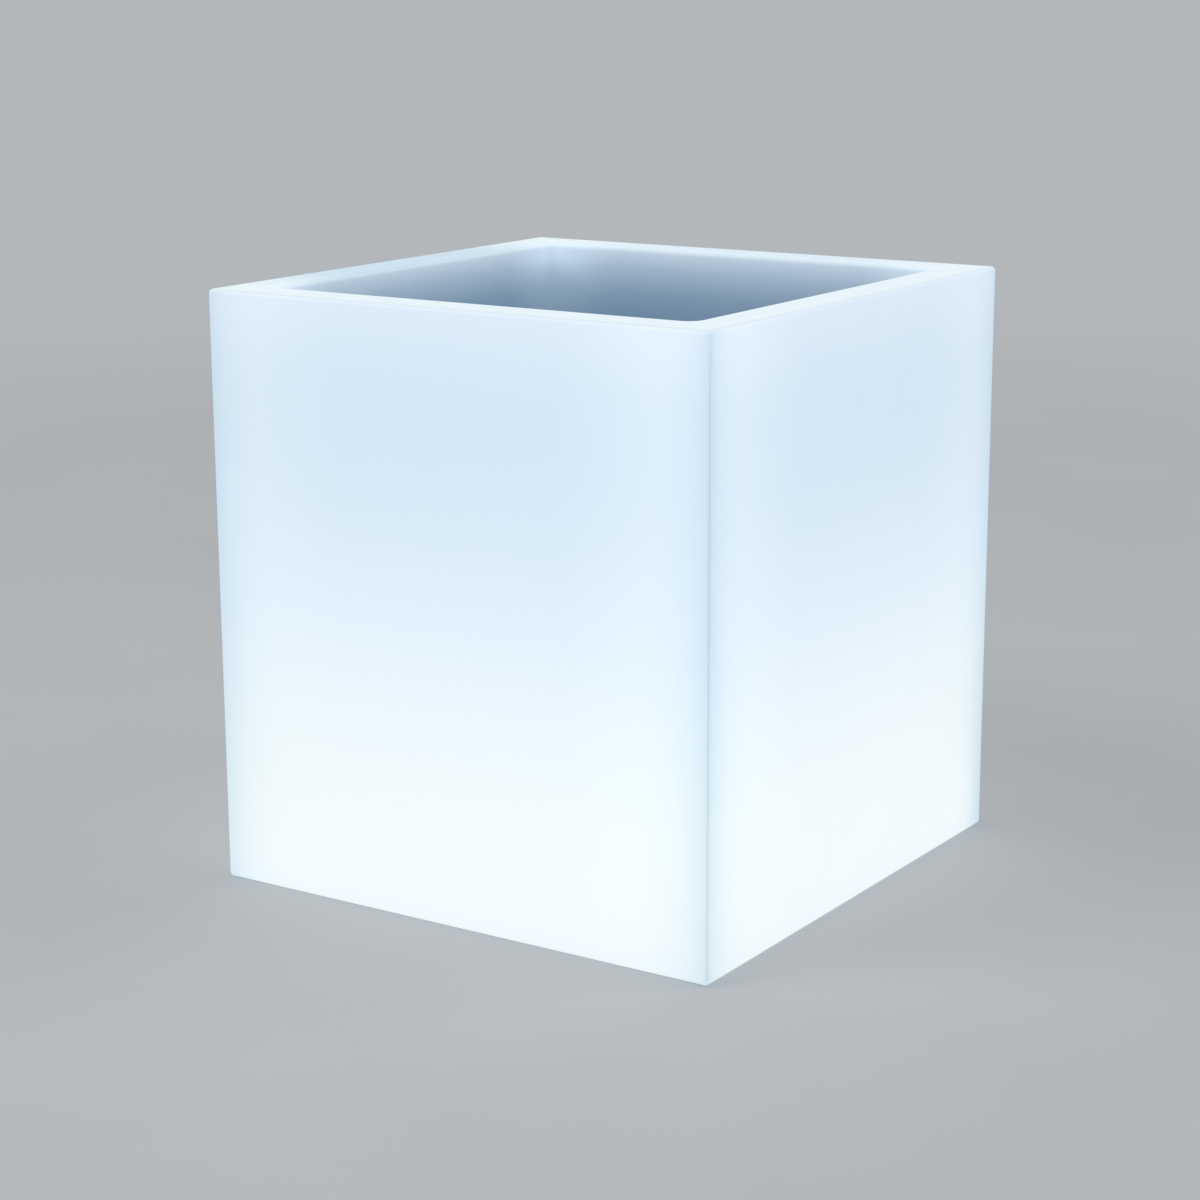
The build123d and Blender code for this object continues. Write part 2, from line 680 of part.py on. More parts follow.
# Light unit: LED board
with BuildPart() as led_board:
    with BuildSketch(Plane.XY.offset(led_board_bottom)):
        Circle(led_board_radius)
        with PolarLocations(led_post_circle, LED_POST_COUNT, led_post_start):
            Circle(SMALL_SCREW / 2 + HOLE_CLEARANCE, mode=Mode.SUBTRACT)
    extrude(amount=BOARD_THICKNESS)

with BuildPart() as led_chips:
    with BuildSketch(Plane.XY.offset(led_board_top)):
        with PolarLocations(LED_OUTER_RING / 2, LED_OUTER_COUNT):
            Rectangle(LED_SIZE, LED_SIZE)
        with PolarLocations(LED_INNER_RING / 2, LED_INNER_COUNT):
            Rectangle(LED_SIZE, LED_SIZE)
    extrude(amount=LED_THICKNESS)

small_screw = socket_screw(
    SMALL_SCREW, SMALL_SCREW_LENGTH, SMALL_SCREW_HEAD, SMALL_SCREW_HEAD_HEIGHT
)

with BuildPart() as board_screws:
    with Locations(Plane.XY.offset(led_board_top)):
        with PolarLocations(led_post_circle, LED_POST_COUNT, led_post_start):
            add(small_screw, rotation=(180, 0, 0))


# Light unit: cells, their links and the clamp
with BuildPart() as battery_cells:
    with BuildSketch(Plane.YZ.offset(-CELL_LENGTH / 2)):
        with Locations(*[(y, cell_axis) for y in cell_places]):
            Circle(CELL_DIAMETER / 2)
    extrude(amount=CELL_LENGTH)
    fillet(battery_cells.edges().filter_by(GeomType.CIRCLE), CELL_EDGE)

with BuildPart() as battery_links:
    with BuildSketch(Plane.YZ.offset(-CELL_LENGTH / 2)):
        with Locations((CELLS_Y, cell_axis)):
            Rectangle(CELL_PITCH + LINK_WIDTH, LINK_WIDTH)
    extrude(amount=-LINK_THICKNESS)
    with BuildSketch(Plane.YZ.offset(CELL_LENGTH / 2)):
        with Locations(*[(y, cell_axis) for y in cell_places]):
            Rectangle(LINK_WIDTH, LINK_WIDTH)
    extrude(amount=LINK_THICKNESS)

with BuildPart() as battery_clamp:
    with BuildSketch(Plane.XY.offset(clamp_bottom)):
        with Locations((0, CELLS_Y)):
            RectangleRounded(
                CLAMP_WIDTH, 2 * clamp_reach + CLAMP_POST + 2 * CLAMP_OVERHANG, CLAMP_WIDTH / 4
            )
        with Locations(*clamp_places):
            Circle(SMALL_SCREW / 2 + HOLE_CLEARANCE, mode=Mode.SUBTRACT)
    extrude(amount=CLAMP_THICKNESS)
    # stiffening rib between the cells
    with BuildSketch(Plane.XY.offset(clamp_bottom)):
        with Locations((0, CELLS_Y)):
            Rectangle(CLAMP_WIDTH, CLAMP_THICKNESS)
    extrude(amount=-CELL_DIAMETER / 4)

with BuildPart() as clamp_screws:
    with Locations(*[(x, y, clamp_bottom + CLAMP_THICKNESS) for x, y in clamp_places]):
        add(small_screw, rotation=(180, 0, 0))


# Light unit: control board
with BuildPart() as control_board:
    with BuildSketch(Plane.XY.offset(control_bottom)):
        with Locations((0, CONTROL_Y)):
            Rectangle(CONTROL_WIDTH, CONTROL_DEPTH)
        with Locations(*control_post_places):
            Circle(SMALL_SCREW / 2 + HOLE_CLEARANCE, mode=Mode.SUBTRACT)
    extrude(amount=BOARD_THICKNESS)

with BuildPart() as control_chips:
    # sockets of the four plugs
    with BuildSketch(Plane.XY.offset(control_top)):
        with Locations(*plug_places):
            Rectangle(PLUG_WIDTH, PLUG_DEPTH)
    extrude(amount=SOCKET_HEIGHT)
    # driver and charger chips
    with BuildSketch(Plane.XY.offset(control_top)):
        with Locations((0, CONTROL_Y + PART_ROW), (0, CONTROL_Y - PART_ROW)):
            Rectangle(CHIP_SIZE, CHIP_SIZE)
    extrude(amount=CHIP_THICKNESS)
    with BuildSketch(Plane.XY.offset(control_top)):
        with Locations((PART_SPACING, CONTROL_Y + PART_ROW)):
            Circle(COIL_DIAMETER / 2)
    extrude(amount=COIL_HEIGHT)
    with BuildSketch(Plane.XY.offset(control_top)):
        with Locations((-PART_SPACING, CONTROL_Y + PART_ROW)):
            Circle(CAPACITOR_DIAMETER / 2)
    extrude(amount=CAPACITOR_HEIGHT)

with BuildPart() as control_screws:
    with Locations(*[(x, y, control_top) for x, y in control_post_places]):
        add(small_screw, rotation=(180, 0, 0))

with BuildPart() as lead_plugs:
    with BuildSketch(Plane.XY.offset(control_top + SOCKET_HEIGHT)):
        with Locations(*plug_places):
            Rectangle(PLUG_WIDTH, PLUG_DEPTH)
    extrude(amount=PLUG_HEIGHT)
    chamfer(lead_plugs.edges().filter_by(Axis.Z), PLUG_DEPTH / 10)


# Charging inlet
jack_bottom = bezel_top - JACK_BEZEL_THICKNESS
jack_top = bezel_top + JACK_HEIGHT

with BuildPart() as charge_jack:
    with BuildSketch(Plane.XY.offset(jack_bottom)):
        with Locations(inlet_place):
            Circle(JACK_BEZEL / 2)
    extrude(amount=JACK_BEZEL_THICKNESS)
    fillet(charge_jack.edges().sort_by(Axis.Z)[0], JACK_BEZEL_THICKNESS / 3)
    with BuildSketch(Plane.XY.offset(bezel_top)):
        with Locations(inlet_place):
            Circle(JACK_THREAD / 2)
    extrude(amount=JACK_HEIGHT)
    with BuildSketch(Plane.XY.offset(jack_bottom)):
        with Locations(inlet_place):
            Circle(JACK_BORE / 2)
    extrude(amount=JACK_BORE_DEPTH, mode=Mode.SUBTRACT)
    with BuildSketch(Plane.XY.offset(jack_bottom + JACK_BORE_DEPTH)):
        with Locations(inlet_place):
            Circle(JACK_PIN / 2)
    extrude(amount=JACK_PIN_SETBACK - JACK_BORE_DEPTH)
    with BuildSketch(Plane.XY.offset(jack_top)):
        with Locations(inlet_place):
            with GridLocations(LEAD_PITCH, 0, 2, 1):
                Rectangle(TAG_THICKNESS, TAG_WIDTH)
    extrude(amount=TAG_LENGTH)

with BuildPart() as jack_seal:
    add(
        washers(
            Locations(inlet_place),
            bezel_top,
            SEAL_THICKNESS,
            JACK_BEZEL,
            JACK_THREAD + 2 * THREAD_CLEARANCE,
        )
    )

with BuildPart() as jack_nut:
    add(
        hex_nut(
            inlet_place, panel_top, JACK_NUT, NUT_THICKNESS, JACK_THREAD + 2 * THREAD_CLEARANCE
        )
    )


# Rubber flap of the inlet, and the root that holds it in the panel
flap_top = jack_bottom - FLAP_GAP
flap_middle = flap_top - FLAP_THICKNESS / 2
hinge_x = INLET_X + FLAP_REACH
anchor_start = hinge_x + FLAP_THICKNESS / 2 + FLAP_GAP
anchor_x = hinge_x + ANCHOR_BOSS

with BuildPart() as jack_cap:
    with BuildSketch(Plane.XY.offset(flap_top)):
        with Locations(inlet_place):
            Circle(FLAP_DIAMETER / 2)
        with Locations(((INLET_X + hinge_x) / 2, WELL_Y)):
            Rectangle(FLAP_REACH, FLAP_STRAP)
        with Locations((INLET_X - FLAP_TAB_REACH, WELL_Y)):
            Circle(FLAP_TAB / 2)
    extrude(amount=-FLAP_THICKNESS)
    with Locations((*inlet_place, flap_top)):
        Cone(
            FLAP_PIN / 2,
            FLAP_PIN_TIP / 2,
            FLAP_PIN_LENGTH,
            align=(Align.CENTER, Align.CENTER, Align.MIN),
        )
    # rounded end on the bending line
    with BuildSketch(Plane.XZ.offset(-WELL_Y)):
        with Locations((hinge_x, flap_middle)):
            Circle(FLAP_THICKNESS / 2)
    extrude(amount=FLAP_STRAP / 2, both=True)

with BuildPart() as cap_anchor:
    with BuildSketch(Plane.XZ.offset(-WELL_Y)):
        with BuildLine():
            Polyline(
                (anchor_start, flap_top),
                (anchor_start, flap_middle),
                (anchor_start + FLAP_THICKNESS / 2, flap_top - FLAP_THICKNESS),
                (anchor_start + ANCHOR_LENGTH, flap_top - FLAP_THICKNESS),
                (anchor_start + ANCHOR_LENGTH, flap_top),
                close=True,
            )
        make_face()
    extrude(amount=FLAP_STRAP / 2, both=True)
    with BuildSketch(Plane.XY.offset(flap_middle)):
        with Locations((anchor_x, WELL_Y)):
            Circle(ANCHOR_BOSS / 2)
    extrude(amount=panel_bottom - flap_middle)
    with BuildSketch(Plane.XY.offset(panel_bottom)):
        with Locations((anchor_x, WELL_Y)):
            Circle(ANCHOR_STEM / 2)
    extrude(amount=WELL_PANEL)
    with Locations((anchor_x, WELL_Y, panel_top)):
        Cone(
            ANCHOR_HEAD / 2,
            ANCHOR_STEM / 2,
            ANCHOR_HEAD_HEIGHT,
            align=(Align.CENTER, Align.CENTER, Align.MIN),
        )


# Push switch
switch_bottom = bezel_top - SWITCH_BEZEL_THICKNESS
shoulder_top = switch_bottom + SHOULDER
collar_bottom = shoulder_top + BUTTON_CLEARANCE
collar_top = collar_bottom + COLLAR_THICKNESS
spring_top = collar_top + SPRING_ROOM
switch_top = bezel_top + SWITCH_HEIGHT

with BuildPart() as switch_body:
    with BuildSketch(Plane.XY.offset(switch_bottom)):
        with Locations(switch_place):
            Circle(SWITCH_BEZEL / 2)
    extrude(amount=SWITCH_BEZEL_THICKNESS)
    fillet(switch_body.edges().sort_by(Axis.Z)[0], SWITCH_BEZEL_THICKNESS / 3)
    with BuildSketch(Plane.XY.offset(bezel_top)):
        with Locations(switch_place):
            Circle(SWITCH_THREAD / 2)
    extrude(amount=SWITCH_HEIGHT)
    with BuildSketch(Plane.XY.offset(switch_bottom)):
        with Locations(switch_place):
            Circle(BUTTON_DIAMETER / 2 + BUTTON_CLEARANCE)
    extrude(amount=SHOULDER, mode=Mode.SUBTRACT)
    with BuildSketch(Plane.XY.offset(shoulder_top)):
        with Locations(switch_place):
            Circle(COLLAR_DIAMETER / 2 + BUTTON_CLEARANCE)
    extrude(amount=spring_top - shoulder_top, mode=Mode.SUBTRACT)
    with BuildSketch(Plane.XY.offset(switch_top)):
        with Locations(switch_place):
            with GridLocations(LEAD_PITCH, 0, 2, 1):
                Rectangle(TAG_THICKNESS, TAG_WIDTH)
    extrude(amount=TAG_LENGTH)

with BuildPart() as switch_seal:
    add(
        washers(
            Locations(switch_place),
            bezel_top,
            SEAL_THICKNESS,
            SWITCH_BEZEL,
            SWITCH_THREAD + 2 * THREAD_CLEARANCE,
        )
    )

with BuildPart() as switch_nut:
    add(
        hex_nut(
            switch_place,
            panel_top,
            SWITCH_NUT,
            NUT_THICKNESS,
            SWITCH_THREAD + 2 * THREAD_CLEARANCE,
        )
    )

with BuildPart() as power_button:
    with BuildSketch(Plane.XY.offset(switch_bottom - BUTTON_PROUD)):
        with Locations(switch_place):
            Circle(BUTTON_DIAMETER / 2)
    extrude(amount=collar_bottom - switch_bottom + BUTTON_PROUD)
    fillet(power_button.edges().sort_by(Axis.Z)[0], BUTTON_PROUD / 3)
    with BuildSketch(Plane.XY.offset(collar_bottom)):
        with Locations(switch_place):
            Circle(COLLAR_DIAMETER / 2)
    extrude(amount=COLLAR_THICKNESS)
    with BuildSketch(Plane.XY.offset(collar_top)):
        with Locations(switch_place):
            Circle(STEM_DIAMETER / 2)
    extrude(amount=STEM_LENGTH)


# The button's spring: a helix between two upright ends
def spring_stations():
    """Points of the wire's middle, each with the wire's direction there."""
    x, y = switch_place
    radius = SPRING_DIAMETER / 2
    bottom = collar_top + SPRING_END
    top = spring_top - SPRING_END
    upright = Vector(0, 0, 1)
    bend = 2 * SPRING_WIRE
    rise = top - bottom - 2 * (SPRING_WIRE + bend)
    turn = 2 * pi * SPRING_TURNS
    steps = 4 * SPRING_TURNS
    helix = []
    for step in range(steps + 1):
        angle = turn * step / steps
        place = Vector(
            x + radius * cos(angle),
            y + radius * sin(angle),
            bottom + SPRING_WIRE + bend + rise * step / steps,
        )
        heading = Vector(-radius * sin(angle), radius * cos(angle), rise / turn).normalized()
        helix.append((place, heading))
    first, first_heading = helix[0]
    last, last_heading = helix[-1]
    foot = first - first_heading * bend - upright * bend
    head = last + last_heading * bend + upright * bend
    ends_below = [(Vector(foot.X, foot.Y, bottom), upright), (foot, upright)]
    ends_above = [(head, upright), (Vector(head.X, head.Y, top), upright)]
    return ends_below + helix + ends_above


def biarc_joint(start, heading, end, end_heading):
    """Where two tangent arcs from start to end meet, and their direction there."""
    chord = end - start
    sum_of_headings = heading + end_heading
    a = sum_of_headings.dot(sum_of_headings) - 4
    b = -2 * chord.dot(sum_of_headings)
    c = chord.dot(chord)
    reach = (-b - sqrt(b * b - 4 * a * c)) / (2 * a)
    leaving = start + heading * reach
    arriving = end - end_heading * reach
    return (leaving + arriving) / 2, arriving - leaving


stations = spring_stations()

with BuildPart() as button_spring:
    with BuildLine() as spring_line:
        Line(stations[0][0], stations[1][0])
        for (start, heading), (end, end_heading) in zip(stations[1:-2], stations[2:-1]):
            joint, joint_heading = biarc_joint(start, heading, end, end_heading)
            TangentArc(start, joint, tangent=heading)
            TangentArc(joint, end, tangent=joint_heading)
        Line(stations[-2][0], stations[-1][0])
    with BuildSketch(Plane(stations[0][0], z_dir=(0, 0, 1))):
        Circle(SPRING_WIRE / 2)
    sweep(path=spring_line.wires()[0])

# least gap between turns, measured on points along the wire
spring_wire = spring_line.wires()[0]
spring_points = [spring_wire @ (i / SPRING_SAMPLES) for i in range(SPRING_SAMPLES + 1)]
half_turn_apart = ceil(SPRING_SAMPLES / (2 * SPRING_TURNS))
spring_gap = min(
    (spring_points[j] - spring_points[i]).length - SPRING_WIRE
    for i in range(len(spring_points))
    for j in range(i + half_turn_apart, len(spring_points))
)
print(f"spring: least gap {spring_gap:.2f}, length {spring_wire.length:.1f}")


# Charge light: a clear pipe through the panel
with BuildPart() as status_window:
    with BuildSketch(Plane.XY.offset(panel_bottom - LIGHT_FLANGE_THICKNESS)):
        with Locations(light_place):
            Circle(LIGHT_FLANGE / 2)
    extrude(amount=LIGHT_FLANGE_THICKNESS)
    fillet(status_window.edges().sort_by(Axis.Z)[0], LIGHT_FLANGE_THICKNESS / 2)
    with BuildSketch(Plane.XY.offset(panel_bottom)):
        with Locations(light_place):
            Circle(LIGHT_DIAMETER / 2)
    extrude(amount=LIGHT_LENGTH)


# Wires
def bend_radii(route):
    """The widest even bend at each corner of a route."""
    radii = []
    for before, corner, after in zip(route, route[1:], route[2:]):
        run_in = Vector(corner) - Vector(before)
        run_out = Vector(after) - Vector(corner)
        half_turn = radians(run_in.get_angle(run_out)) / 2
        radii.append(BEND_SHARE * min(run_in.length, run_out.length) / tan(half_turn))
    return radii


def lead(route):
    """One insulated wire along a route."""
    radii = bend_radii(route)
    with BuildPart() as wire:
        with BuildLine() as middle:
            FilletPolyline(*route, radius=radii)
        with BuildSketch(Plane(route[0], z_dir=Vector(route[1]) - Vector(route[0]))):
            Circle(LEAD_DIAMETER / 2)
        sweep(path=middle.wires()[0])
    print(f"lead: least bend {min(radii):.1f}, length {middle.wires()[0].length:.1f}")
    return wire.part


def pair(route):
    """Two wires side by side in X."""
    return [
        lead([(x + side * LEAD_PITCH / 2, y, z) for x, y, z in route]) for side in (-1, 1)
    ]


jack_plug, led_plug, switch_plug, battery_plug = plug_places
leads_high = (clamp_bottom + CLAMP_THICKNESS + led_board_bottom) / 2 + LEADS_RISE
links_right = CELL_LENGTH / 2 + LINK_THICKNESS
cell_front, cell_back = cell_places

# from the inlet's and the switch's tags over the cells to the board
with BuildPart() as jack_leads:
    add(
        pair(
            [
                (*inlet_place, jack_top + TAG_LENGTH),
                (*inlet_place, leads_high),
                (INLET_X + LEAD_SWAY, CELLS_Y - LEAD_SPAN, leads_high + LEAD_SWAY),
                (INLET_X - LEAD_SWAY, CELLS_Y + LEAD_SPAN, leads_high),
                (*jack_plug, leads_high + LEAD_SWAY / 2),
                (*jack_plug, plug_top),
            ]
        )
    )

with BuildPart() as switch_leads:
    add(
        pair(
            [
                (*switch_place, switch_top + TAG_LENGTH),
                (*switch_place, leads_high),
                (SWITCH_X - 2 * LEAD_SWAY, CELLS_Y - LEAD_SPAN, leads_high + LEAD_SWAY / 2),
                (switch_plug[0] + SWITCH_LEAD_SHIFT, CELLS_Y + LEAD_SPAN, leads_high + LEAD_SWAY),
                (*switch_plug, leads_high),
                (*switch_plug, plug_top),
            ]
        )
    )

# from the board up to the underside of the LED board
led_lead_end = (led_plug[0] + LEAD_SWAY, led_plug[1] - LED_LEAD_STEP)

with BuildPart() as led_leads:
    add(
        pair(
            [
                (*led_plug, plug_top),
                (*led_plug, plug_top + LED_LEAD_RUN),
                (*led_lead_end, led_board_bottom - LED_LEAD_RUN),
                (*led_lead_end, led_board_bottom),
            ]
        )
    )

# from the cells' right-hand links round to the board
back_lead_x = links_right + BATTERY_LEAD_OUT
front_lead_x = back_lead_x + FRONT_LEAD_OUT
back_pin_x = battery_plug[0] + LEAD_PITCH / 2
front_pin_x = battery_plug[0] - LEAD_PITCH / 2

with BuildPart() as battery_leads:
    add(
        lead(
            [
                (links_right, cell_back, cell_axis),
                (back_lead_x, cell_back, cell_axis),
                (back_lead_x, cell_back + BATTERY_LEAD_CLIMB, cell_axis + BATTERY_LEAD_CLIMB),
                (
                    links_right + FRONT_LEAD_OUT,
                    battery_plug[1] - PLUG_APPROACH,
                    leads_high - BATTERY_LEAD_DIP,
                ),
                (back_pin_x, battery_plug[1], leads_high - BATTERY_LEAD_DIP),
                (back_pin_x, battery_plug[1], plug_top),
            ]
        )
    )
    add(
        lead(
            [
                (links_right, cell_front, cell_axis),
                (front_lead_x, cell_front, cell_axis),
                (
                    front_lead_x + FRONT_LEAD_OUT,
                    cell_front + CELL_PITCH * 3 / 4,
                    cell_axis + BATTERY_LEAD_CLIMB / 2,
                ),
                (
                    back_lead_x,
                    cell_front + CELL_PITCH * 3 / 2,
                    cell_axis + BATTERY_LEAD_CLIMB * 3 / 2,
                ),
                (links_right, battery_plug[1] - PLUG_APPROACH, leads_high + LEAD_SWAY),
                (front_pin_x, battery_plug[1], leads_high + BATTERY_LEAD_DIP),
                (front_pin_x, battery_plug[1], plug_top),
            ]
        )
    )


pieces = {
    "planter_body": planter_body,
    "body_inserts": body_inserts,
    "rubber_feet": rubber_feet,
    "foot_washers": foot_washers,
    "foot_screws": foot_screws,
    "drain_plug": drain_plug,
    "unit_housing": unit_housing,
    "flange_gasket": flange_gasket,
    "flange_washers": flange_washers,
    "flange_screws": flange_screws,
    "lens_cover": lens_cover,
    "lens_seal": lens_seal,
    "lens_screws": lens_screws,
    "led_board": led_board,
    "led_chips": led_chips,
    "board_screws": board_screws,
    "control_board": control_board,
    "control_chips": control_chips,
    "control_screws": control_screws,
    "battery_cells": battery_cells,
    "battery_links": battery_links,
    "battery_clamp": battery_clamp,
    "clamp_screws": clamp_screws,
    "charge_jack": charge_jack,
    "jack_seal": jack_seal,
    "jack_nut": jack_nut,
    "jack_cap": jack_cap,
    "cap_anchor": cap_anchor,
    "switch_body": switch_body,
    "switch_seal": switch_seal,
    "switch_nut": switch_nut,
    "power_button": power_button,
    "button_spring": button_spring,
    "status_window": status_window,
    "jack_leads": jack_leads,
    "switch_leads": switch_leads,
    "led_leads": led_leads,
    "battery_leads": battery_leads,
    "lead_plugs": lead_plugs,
}

os.makedirs("parts", exist_ok=True)
for name, piece in pieces.items():
    piece.part.label = name
    export_step(piece.part, f"parts/{name}.step")
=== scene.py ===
import functools
import math

import bmesh
import bpy
from mathutils import Matrix, Vector


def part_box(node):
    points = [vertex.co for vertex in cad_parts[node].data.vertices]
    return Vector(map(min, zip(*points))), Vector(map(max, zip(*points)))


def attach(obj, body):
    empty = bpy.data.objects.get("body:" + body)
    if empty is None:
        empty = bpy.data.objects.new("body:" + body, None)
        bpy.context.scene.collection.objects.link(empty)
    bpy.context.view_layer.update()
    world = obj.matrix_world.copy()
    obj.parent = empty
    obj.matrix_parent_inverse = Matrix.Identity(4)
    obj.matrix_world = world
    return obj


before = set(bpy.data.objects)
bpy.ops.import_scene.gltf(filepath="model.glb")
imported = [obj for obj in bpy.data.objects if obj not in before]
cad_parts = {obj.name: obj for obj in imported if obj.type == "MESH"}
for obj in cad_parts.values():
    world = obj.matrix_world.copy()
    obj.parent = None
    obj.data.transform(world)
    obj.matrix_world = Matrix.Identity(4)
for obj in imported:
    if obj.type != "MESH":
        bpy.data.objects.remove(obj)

# A lit cube planter on a plain pale floor. Metres, in the frame of the CAD part.
MM = 0.001

# Camera, at the photograph's place
PHOTO_PIXELS = 1200
FOCAL_PIXELS = 2721.2
SENSOR_MM = 36.0
CAMERA_AZIMUTH = 33.335
CAMERA_ELEVATION = 13.481
CAMERA_ROLL = -0.2415
CAMERA_DISTANCE = 1.8593
AIM_RIGHT = 0.0097  # how far the planter's middle stands right of and above the camera's axis
AIM_UP = 0.0206

# Sizes of the planter that the glow follows
BODY_LOW, BODY_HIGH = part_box("planter_body")
HALF = BODY_HIGH.x
BASE = BODY_LOW.z
TOP = BODY_HIGH.z
RIM = 0.030
EDGE = 0.003

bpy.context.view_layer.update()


def tone(red, green, blue):
    """A colour given as the screen shows it, from 0 to 255, as linear light."""

    def linear(value):
        value /= 255
        return value / 12.92 if value <= 0.04045 else ((value + 0.055) / 1.055) ** 2.4

    return (linear(red), linear(green), linear(blue), 1.0)


class Graph:
    """The nodes of one material, with a short call for each kind."""

    def __init__(self, name):
        self.material = bpy.data.materials.new(name)
        self.material.use_nodes = True
        self.nodes = self.material.node_tree.nodes
        self.links = self.material.node_tree.links
        self.shader = self.nodes["Principled BSDF"]
        self.place = self.node("TexCoord", "Object")

    def node(self, kind, output, inputs=None, **settings):
        """An output of a new node, once its settings and its inputs are given."""
        node = self.nodes.new("ShaderNode" + kind)
        for name, value in settings.items():
            setattr(node, name, value)
        for name, value in (inputs or {}).items():
            self.put(node.inputs[name], value)
        return node.outputs[output]

    def put(self, socket, value):
        """Joins an output to a socket, or sets the socket's own value."""
        if isinstance(value, bpy.types.NodeSocket):
            self.links.new(value, socket)
        elif value is not None:
            socket.default_value = value

    def set(self, **values):
        """Sets the shader's sockets; an underscore stands for a space."""
        for name, value in values.items():
            self.put(self.shader.inputs[name.replace("_", " ")], value)

    def math(self, operation, *values):
        return self.node("Math", "Value", dict(enumerate(values)), operation=operation)

    def fold(self, operation, values):
        """One operation over all the values, from the first to the last."""
        return functools.reduce(lambda a, b: self.math(operation, a, b), values)

    def absolute(self, value):
        return self.math("ABSOLUTE", value)

    def less(self, a, b):
        return self.math("SUBTRACT", a, b)

    def opposite(self, mask):
        """1 where the mask is 0, and 0 where it is 1."""
        return self.math("SUBTRACT", 1.0, mask)

    def either(self, a, b):
        return self.math("MAXIMUM", a, b)

    def both(self, *masks):
        return self.fold("MULTIPLY", masks)

    def least(self, values):
        return self.fold("MINIMUM", values)

    def distance(self, *offsets):
        squares = [self.math("POWER", offset, 2.0) for offset in offsets]
        return self.math("SQRT", self.fold("ADD", squares))

    def split(self, vector):
        """The three parts of a vector."""
        node = self.nodes.new("ShaderNodeSeparateXYZ")
        self.put(node.inputs[0], vector)
        return node.outputs

    def fade(self, value, low, high, start=0.0, end=1.0, smooth=True):
        """start below low, end above high, and between them in between."""
        inputs = {"Value": value, "From Min": low, "From Max": high, "To Min": start, "To Max": end}
        curve = "SMOOTHSTEP" if smooth else "LINEAR"
        return self.node("MapRange", "Result", inputs, interpolation_type=curve)

    def under(self, value, low, high):
        """1 below low, 0 above high, and between them in between."""
        return self.fade(value, low, high, 1.0, 0.0)

    def ramp(self, value, stops):
        """A colour or a grey that follows stops of (place, colour or grey).

        A ramp holds no more than 1, so brighter stops are scaled down in it and up again after it.
        """
        node = self.nodes.new("ShaderNodeValToRGB")
        node.color_ramp.interpolation = "B_SPLINE"
        elements = node.color_ramp.elements
        while len(elements) < len(stops):
            elements.new(0.5)
        colours = [c[:3] if isinstance(c, tuple) else (c, c, c) for place, c in stops]
        peak = max(1.0, *(max(colour) for colour in colours))
        for element, (place, c), colour in zip(elements, stops, colours):
            element.position = place
            element.color = (*(part / peak for part in colour), 1.0)
        self.put(node.inputs["Fac"], value)
        if peak == 1.0:
            return node.outputs["Color"]
        return self.tint(node.outputs["Color"], (peak, peak, peak, 1.0))

    def ramp_over(self, value, stops):
        """A ramp whose places are given in the value's own units."""
        end = stops[-1][0]
        part = self.fade(value, 0.0, end, smooth=False)
        return self.ramp(part, [(at / end, colour) for at, colour in stops])

    def mix(self, factor, a, b, blend="MIX"):
        """A colour that goes from a to b, or to a blended with b, as the factor goes from 0 to 1."""
        inputs = {"Factor": factor, "A": a, "B": b}
        return self.node("Mix", "Result", inputs, data_type="RGBA", blend_type=blend)

    def tint(self, colour, by):
        """A colour times another."""
        return self.mix(1.0, colour, by, "MULTIPLY")

    def between(self, factor, a, b):
        """A number that goes from a to b as the factor goes from 0 to 1."""
        return self.node("Mix", "Result", {"Factor": factor, "A": a, "B": b})

    def noise(self, scale, detail=2, roughness=0.5, stretch=None):
        """Noise about 0.5, with so many spots in a metre."""
        place = self.place
        if stretch:
            place = self.node("Mapping", "Vector", {"Vector": place, "Scale": stretch})
        inputs = {"Vector": place, "Scale": scale, "Detail": detail, "Roughness": roughness}
        return self.node("TexNoise", "Fac", inputs)

    def cells(self, scale):
        """The distance from the middle of the nearest cell, of so many in a metre."""
        return self.node("TexVoronoi", "Distance", {"Vector": self.place, "Scale": scale})

    def bump(self, height, distance, strength=1.0, below=None):
        inputs = {"Height": height, "Distance": distance, "Strength": strength, "Normal": below}
        return self.node("Bump", "Normal", inputs)


# Glow of the moulding, as the camera sees it. Heights are shares of an outer face, from its foot.
FACE_GLOW = (
    (0.00, tone(236, 246, 251)),
    (0.05, tone(243, 249, 250)),
    (0.17, tone(242, 249, 250)),
    (0.34, tone(236, 247, 251)),
    (0.50, tone(225, 239, 251)),
    (0.70, tone(213, 231, 244)),
    (0.88, tone(211, 229, 243)),
    (1.00, tone(221, 236, 249)),
)
# Depths below the rim, in metres
POT_GLOW = (
    (0.000, tone(214, 228, 236)),
    (0.004, tone(184, 200, 214)),
    (0.016, tone(156, 174, 190)),
    (0.034, tone(122, 144, 163)),
    (0.060, tone(100, 129, 148)),
    (0.150, tone(94, 129, 149)),
    (0.285, tone(126, 150, 168)),
)
RIM_GLOW = tone(232, 246, 253)
FLOOR_GLOW = tone(150, 173, 190)
# What the middle of the rim lets through on the pot's -X and +Y sides
WEST_RIM = (0.66, 0.74, 0.84, 1.0)
NORTH_RIM = (0.87, 0.91, 0.96, 1.0)
POT_CORNER_GLOW = (0.094, 0.104, 0.104, 1.0)
UNDER_GLOW = tone(204, 223, 237)
# What is left low down at the upright edge between the +X and +Y faces, which the photo shows dimmer
FAR_EDGE = (0.85, 0.90, 0.93, 1.0)
FAR_EDGE_WIDTH = 0.03
# How bright the outer faces are, by |x - y| in metres: 0 at the two upright edges where x and y have
# one sign, and the planter's width at the other two
ROUND_GLOW = ((0.0, 0.955), (0.04, 0.98), (0.12, 1.0), (0.28, 1.01), (0.35, 1.055), (0.38, 1.055))
